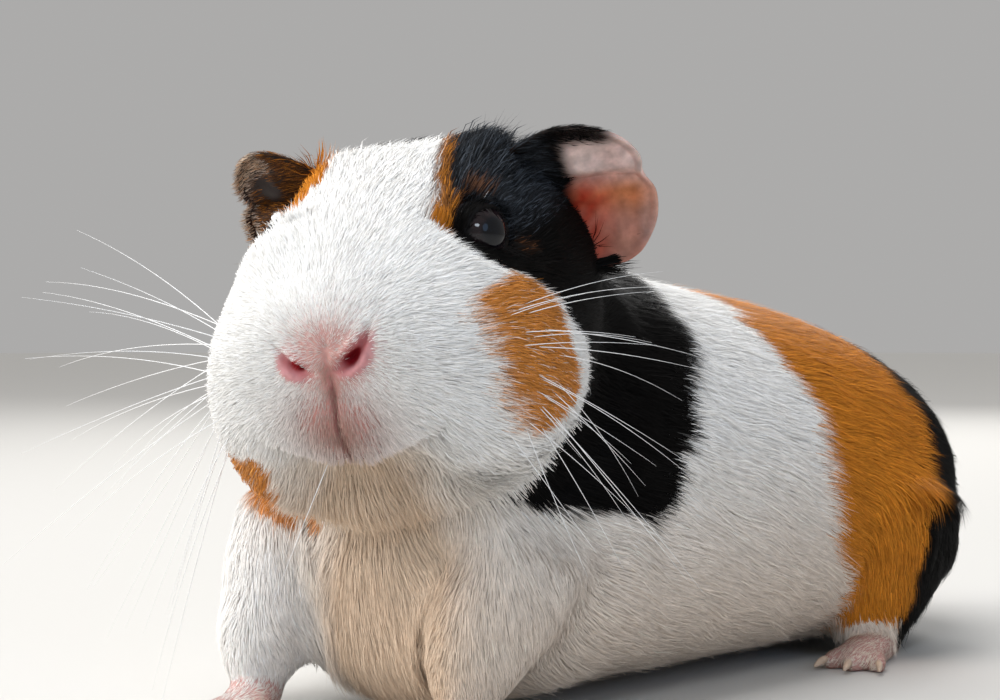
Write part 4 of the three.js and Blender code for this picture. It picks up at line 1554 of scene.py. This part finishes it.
@dataclass
class Whiskers:
    """The whiskers of both cheeks and the brow hairs.

    Attributes:
        skin: The skin that they grow from.
        thickness: Diameter at the root.
        seed: The draw that their curves come from.
        reach: How far they may go, as the lowest and highest x, y and z.
        sides: Flat sides of a whisker.
        steps: Rings along a whisker.
        beds: For each side, the number of rows, their turn backwards in degrees and the whiskers' length
            in millimetres.
        columns: How many whiskers a row has.
        brow: How far back each hair over an eye grows and how steeply it rises.
    """

    skin: Piece
    thickness: float = 0.2 * MM
    seed: int = 5
    reach: tuple[Vector, Vector] = (
        CAD_BOX[0] - Vector((12, 15.5, 0)) * MM, CAD_BOX[1] + Vector((12, 15.5, 12.5)) * MM)
    sides: int = 5
    steps: int = 16
    beds: tuple[Triple, Triple] = ((6, 18.0, 38.0), (7, 9.0, 50.0))
    columns: int = 4
    brow: tuple[tuple[float, float], ...] = ((-30.0, 1.0), (-35.0, 0.8))

    def build(self) -> None:
        """Makes all whiskers as one piece."""
        rng = np.random.default_rng(self.seed)
        tubes = [self._whisker(*plan, rng) for plan in self._plans(rng)]
        points = np.concatenate(tubes)
        own = np.arange(len(points)).reshape(len(tubes), self.steps, self.sides)
        beside = np.roll(own, -1, axis=2)
        corners = np.stack([own[:, :-1], beside[:, :-1], beside[:, 1:], own[:, 1:]], axis=3).ravel()
        piece = mesh_piece("whiskers", points, corners, np.arange(len(corners) // 4) * 4)
        set_colour(piece, np.full((len(points), 3), 0.9))
        hand_over(piece, WHISKER_FINISH.material(), "coat")

    def _plans(self, rng: Draw) -> list[tuple[Array, Array, float]]:
        """Where each whisker starts, which way it goes and how long it is."""
        mesh = self.skin.data
        tree = BVHTree.FromPolygons(
            [vertex.co for vertex in mesh.vertices], [tuple(face.vertices) for face in mesh.polygons])
        plans = []
        for side, (rows, turn, size) in zip(Side, self.beds):
            for row in range(rows):
                for column in range(self.columns):
                    high = 0.5 - 3.4 * row + rng.normal(0, 0.8)
                    back = -9.5 - 3.0 * column + rng.normal(0, 0.8)
                    inside = Vector(HEAD.at(back, 0.0, high))
                    outwards = Vector(HEAD.axes[1] * side.value)
                    start = tree.ray_cast(inside, outwards)[0]
                    if start is None:
                        continue
                    slope = math.radians(24 - 15 * row + rng.normal(0, 8))
                    sweep = math.radians(turn + 5 * column + rng.normal(0, 6))
                    level = HEAD.axes[1] * side.value * math.cos(sweep) - HEAD.axes[0] * math.sin(sweep)
                    level = unit(level * np.array([1.0, 1.0, 0.0]))
                    if side is Side.LEFT:
                        level = unit(level + np.array([-0.45, 0.55, 0.0]))
                    way = level * math.cos(slope) + UPRIGHT * math.sin(slope)
                    length = (size + 4 * column) * MM * rng.uniform(0.6, 1.1)
                    plans.append((np.array(start), way, length))
            for back, rise in self.brow:
                inside = Vector(HEAD.at(back, side.value * 14.0, 0.0))
                start = tree.ray_cast(inside, Vector(HEAD.axes[2]))[0]
                if start is not None:
                    way = unit(np.array([-0.5, side.value * 0.5, rise])) @ HEAD.axes
                    plans.append((np.array(start), way, 15 * MM * rng.uniform(0.7, 1.2)))
        return plans

    def _whisker(self, start: Array, way: Array, length: float, rng: Draw) -> Array:
        """The rings of one tapering, drooping whisker, short enough to stay within reach."""
        along = np.linspace(-0.03, 1, self.steps)
        droop = np.array([0.0, 0.12, -1.0]) * rng.uniform(0.04, 0.2)
        sag = unit(np.cross(way, UPRIGHT)) * rng.normal(0, 0.08)
        low, high = (np.array(corner) for corner in self.reach)
        for _ in range(40):
            line = start + length * (along[:, None] * way + (along ** 2)[:, None] * (droop + sag))
            if np.all(line > low) and np.all(line < high):
                break
            length *= 0.95
        radius = 0.5 * self.thickness * (1.0 - 0.8 * np.clip(along, 0, 1))
        side = unit(np.cross(way, np.array([0.1, 0.3, 1.0])))
        other = np.cross(way, side)
        angles = np.arange(self.sides) * 2 * math.pi / self.sides
        ring = np.cos(angles)[:, None] * side + np.sin(angles)[:, None] * other
        return (line[:, None, :] + radius[:, None, None] * ring[None]).reshape(-1, 3)


@dataclass
class Claws:
    """The claws, smooth curved horn in place of their plain solids.

    Attributes:
        swelling: How far a solid is swollen before it is rounded, which makes up for the rounding.
        off_floor: How far a claw stays above the floor.
    """

    swelling: float = 0.12 * MM
    off_floor: float = 0.02 * MM

    def build(self) -> None:
        """Makes every claw."""
        finish = HORN_FINISH.material()
        for node in sorted(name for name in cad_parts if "claw" in name):
            claw = copy_of(node, node + "_horn")
            tidied(claw, weld=True)
            finish_with(claw, "DISPLACE", strength=self.swelling, mid_level=0.0)
            finish_with(claw, "SUBSURF", levels=2, render_levels=2)
            bpy.ops.object.shade_smooth()
            points = points_of(claw)
            points[:, 2] = np.maximum(points[:, 2], self.off_floor)
            move_points(claw, points)
            hand_over(claw, finish, "claw", node)


@dataclass
class Studio:
    """The floor, the soft light and the camera.

    Attributes:
        azimuth: The camera's turn about the object, 0 looking along +Y.
        pitch: The camera's tilt, up from the level.
        distance: From the camera to the tip of the nose.
        nose_offset: Where the tip of the nose shows, right of and above the picture's middle, as
            shares of the picture's width.
        lens: Focal length in millimetres.
        sensor: Width of the sensor in millimetres.
        floor_radius: How far the floor goes.
    """

    azimuth: float = math.radians(42)
    pitch: float = math.radians(-0.6)
    distance: float = 338 * MM
    nose_offset: tuple[float, float] = (-0.1755, -0.0083)
    lens: float = 72.0
    sensor: float = 36.0
    floor_radius: float = 6.0

    def build(self) -> None:
        """Sets up the floor, the lights and the camera."""
        self._floor()
        self._lights()
        self._camera()

    def _camera(self) -> None:
        """Puts the camera where the nose shows at its place in the picture."""
        right = np.array([math.cos(self.azimuth), math.sin(self.azimuth), 0.0])
        level = np.array([-math.sin(self.azimuth), math.cos(self.azimuth), 0.0])
        forward = level * math.cos(self.pitch) + UPRIGHT * math.sin(self.pitch)
        upward = np.cross(right, forward)
        width = self.distance * self.sensor / self.lens
        aside, high = (share * width for share in self.nose_offset)
        place = HEAD.nose_tip - forward * self.distance - right * aside - upward * high
        data = bpy.data.cameras.new("camera")
        data.lens, data.sensor_width = self.lens, self.sensor
        data.clip_start, data.clip_end = 0.01, 50.0
        camera = shown("camera", data)
        turn = Matrix((right, upward, -forward)).transposed().to_4x4()
        camera.matrix_world = Matrix.Translation(Vector(place)) @ turn
        bpy.context.scene.camera = camera

    def _floor(self) -> None:
        """Lays the floor."""
        deselect()
        bpy.ops.mesh.primitive_circle_add(vertices=96, radius=self.floor_radius, fill_type="NGON")
        floor = bpy.context.active_object
        floor.name = "studio_floor"
        floor.data.materials.append(FLOOR_FINISH.material())

    @staticmethod
    def _lights() -> None:
        """Hangs the soft lights and fills the room with pale light."""
        plans = (
            ("key", "SUN", (-0.50, -0.79, 0.68), math.radians(28), 1.33, (1.0, 0.99, 0.97)),
            ("top", "AREA", (-0.10, -0.35, 1.30), 0.9, 10.5, (1.0, 0.99, 0.98)),
            ("side", "AREA", (-1.0, -0.7, 0.22), 0.8, 8.0, (1.0, 0.99, 0.98)),
            ("front", "AREA", (0.47, -0.64, 0.48), 0.18, 1.2, (0.80, 0.90, 1.0)),
            ("sky", "AREA", (0.97, -0.30, 0.40), 0.5, 0.9, (0.35, 0.60, 1.0)),
            ("rim", "AREA", (-0.5, 1.0, 0.8), 0.7, 7.0, (1.0, 0.99, 0.97)),
        )
        target = Vector((0.01, -0.04, 0.06))
        for name, kind, place, size, power, colour in plans:
            data = bpy.data.lights.new(name, kind)
            setattr(data, "angle" if kind == "SUN" else "size", size)
            if kind == "AREA":
                data.shape = "DISK"
            data.energy, data.color = power, colour
            light = shown(name, data)
            light.location = place
            light.rotation_euler = (target - Vector(place)).to_track_quat("-Z", "Y").to_euler()
        world = bpy.data.worlds.new("studio_air")
        world.use_nodes = True
        air = next(node for node in world.node_tree.nodes if node.type == "BACKGROUND")
        air.inputs["Color"].default_value = (0.86, 0.85, 0.84, 1.0)
        air.inputs["Strength"].default_value = 0.48
        bpy.context.scene.world = world
        bpy.context.scene.view_settings.view_transform = "Standard"


def main() -> None:
    """Builds the guinea pig and its studio."""
    logging.basicConfig(level=logging.INFO, format="%(message)s")
    Studio().build()
    eyes = [Eye(side) for side in Side]
    ears = [Ear(side) for side in Side]
    skin = Skin().build(eyes, ears)
    for eye in eyes:
        eye.build_ball()
    Coat(skin, eyes, ears).build()
    Whiskers(skin).build()
    Claws().build()


if __name__ == "__main__":
    main()
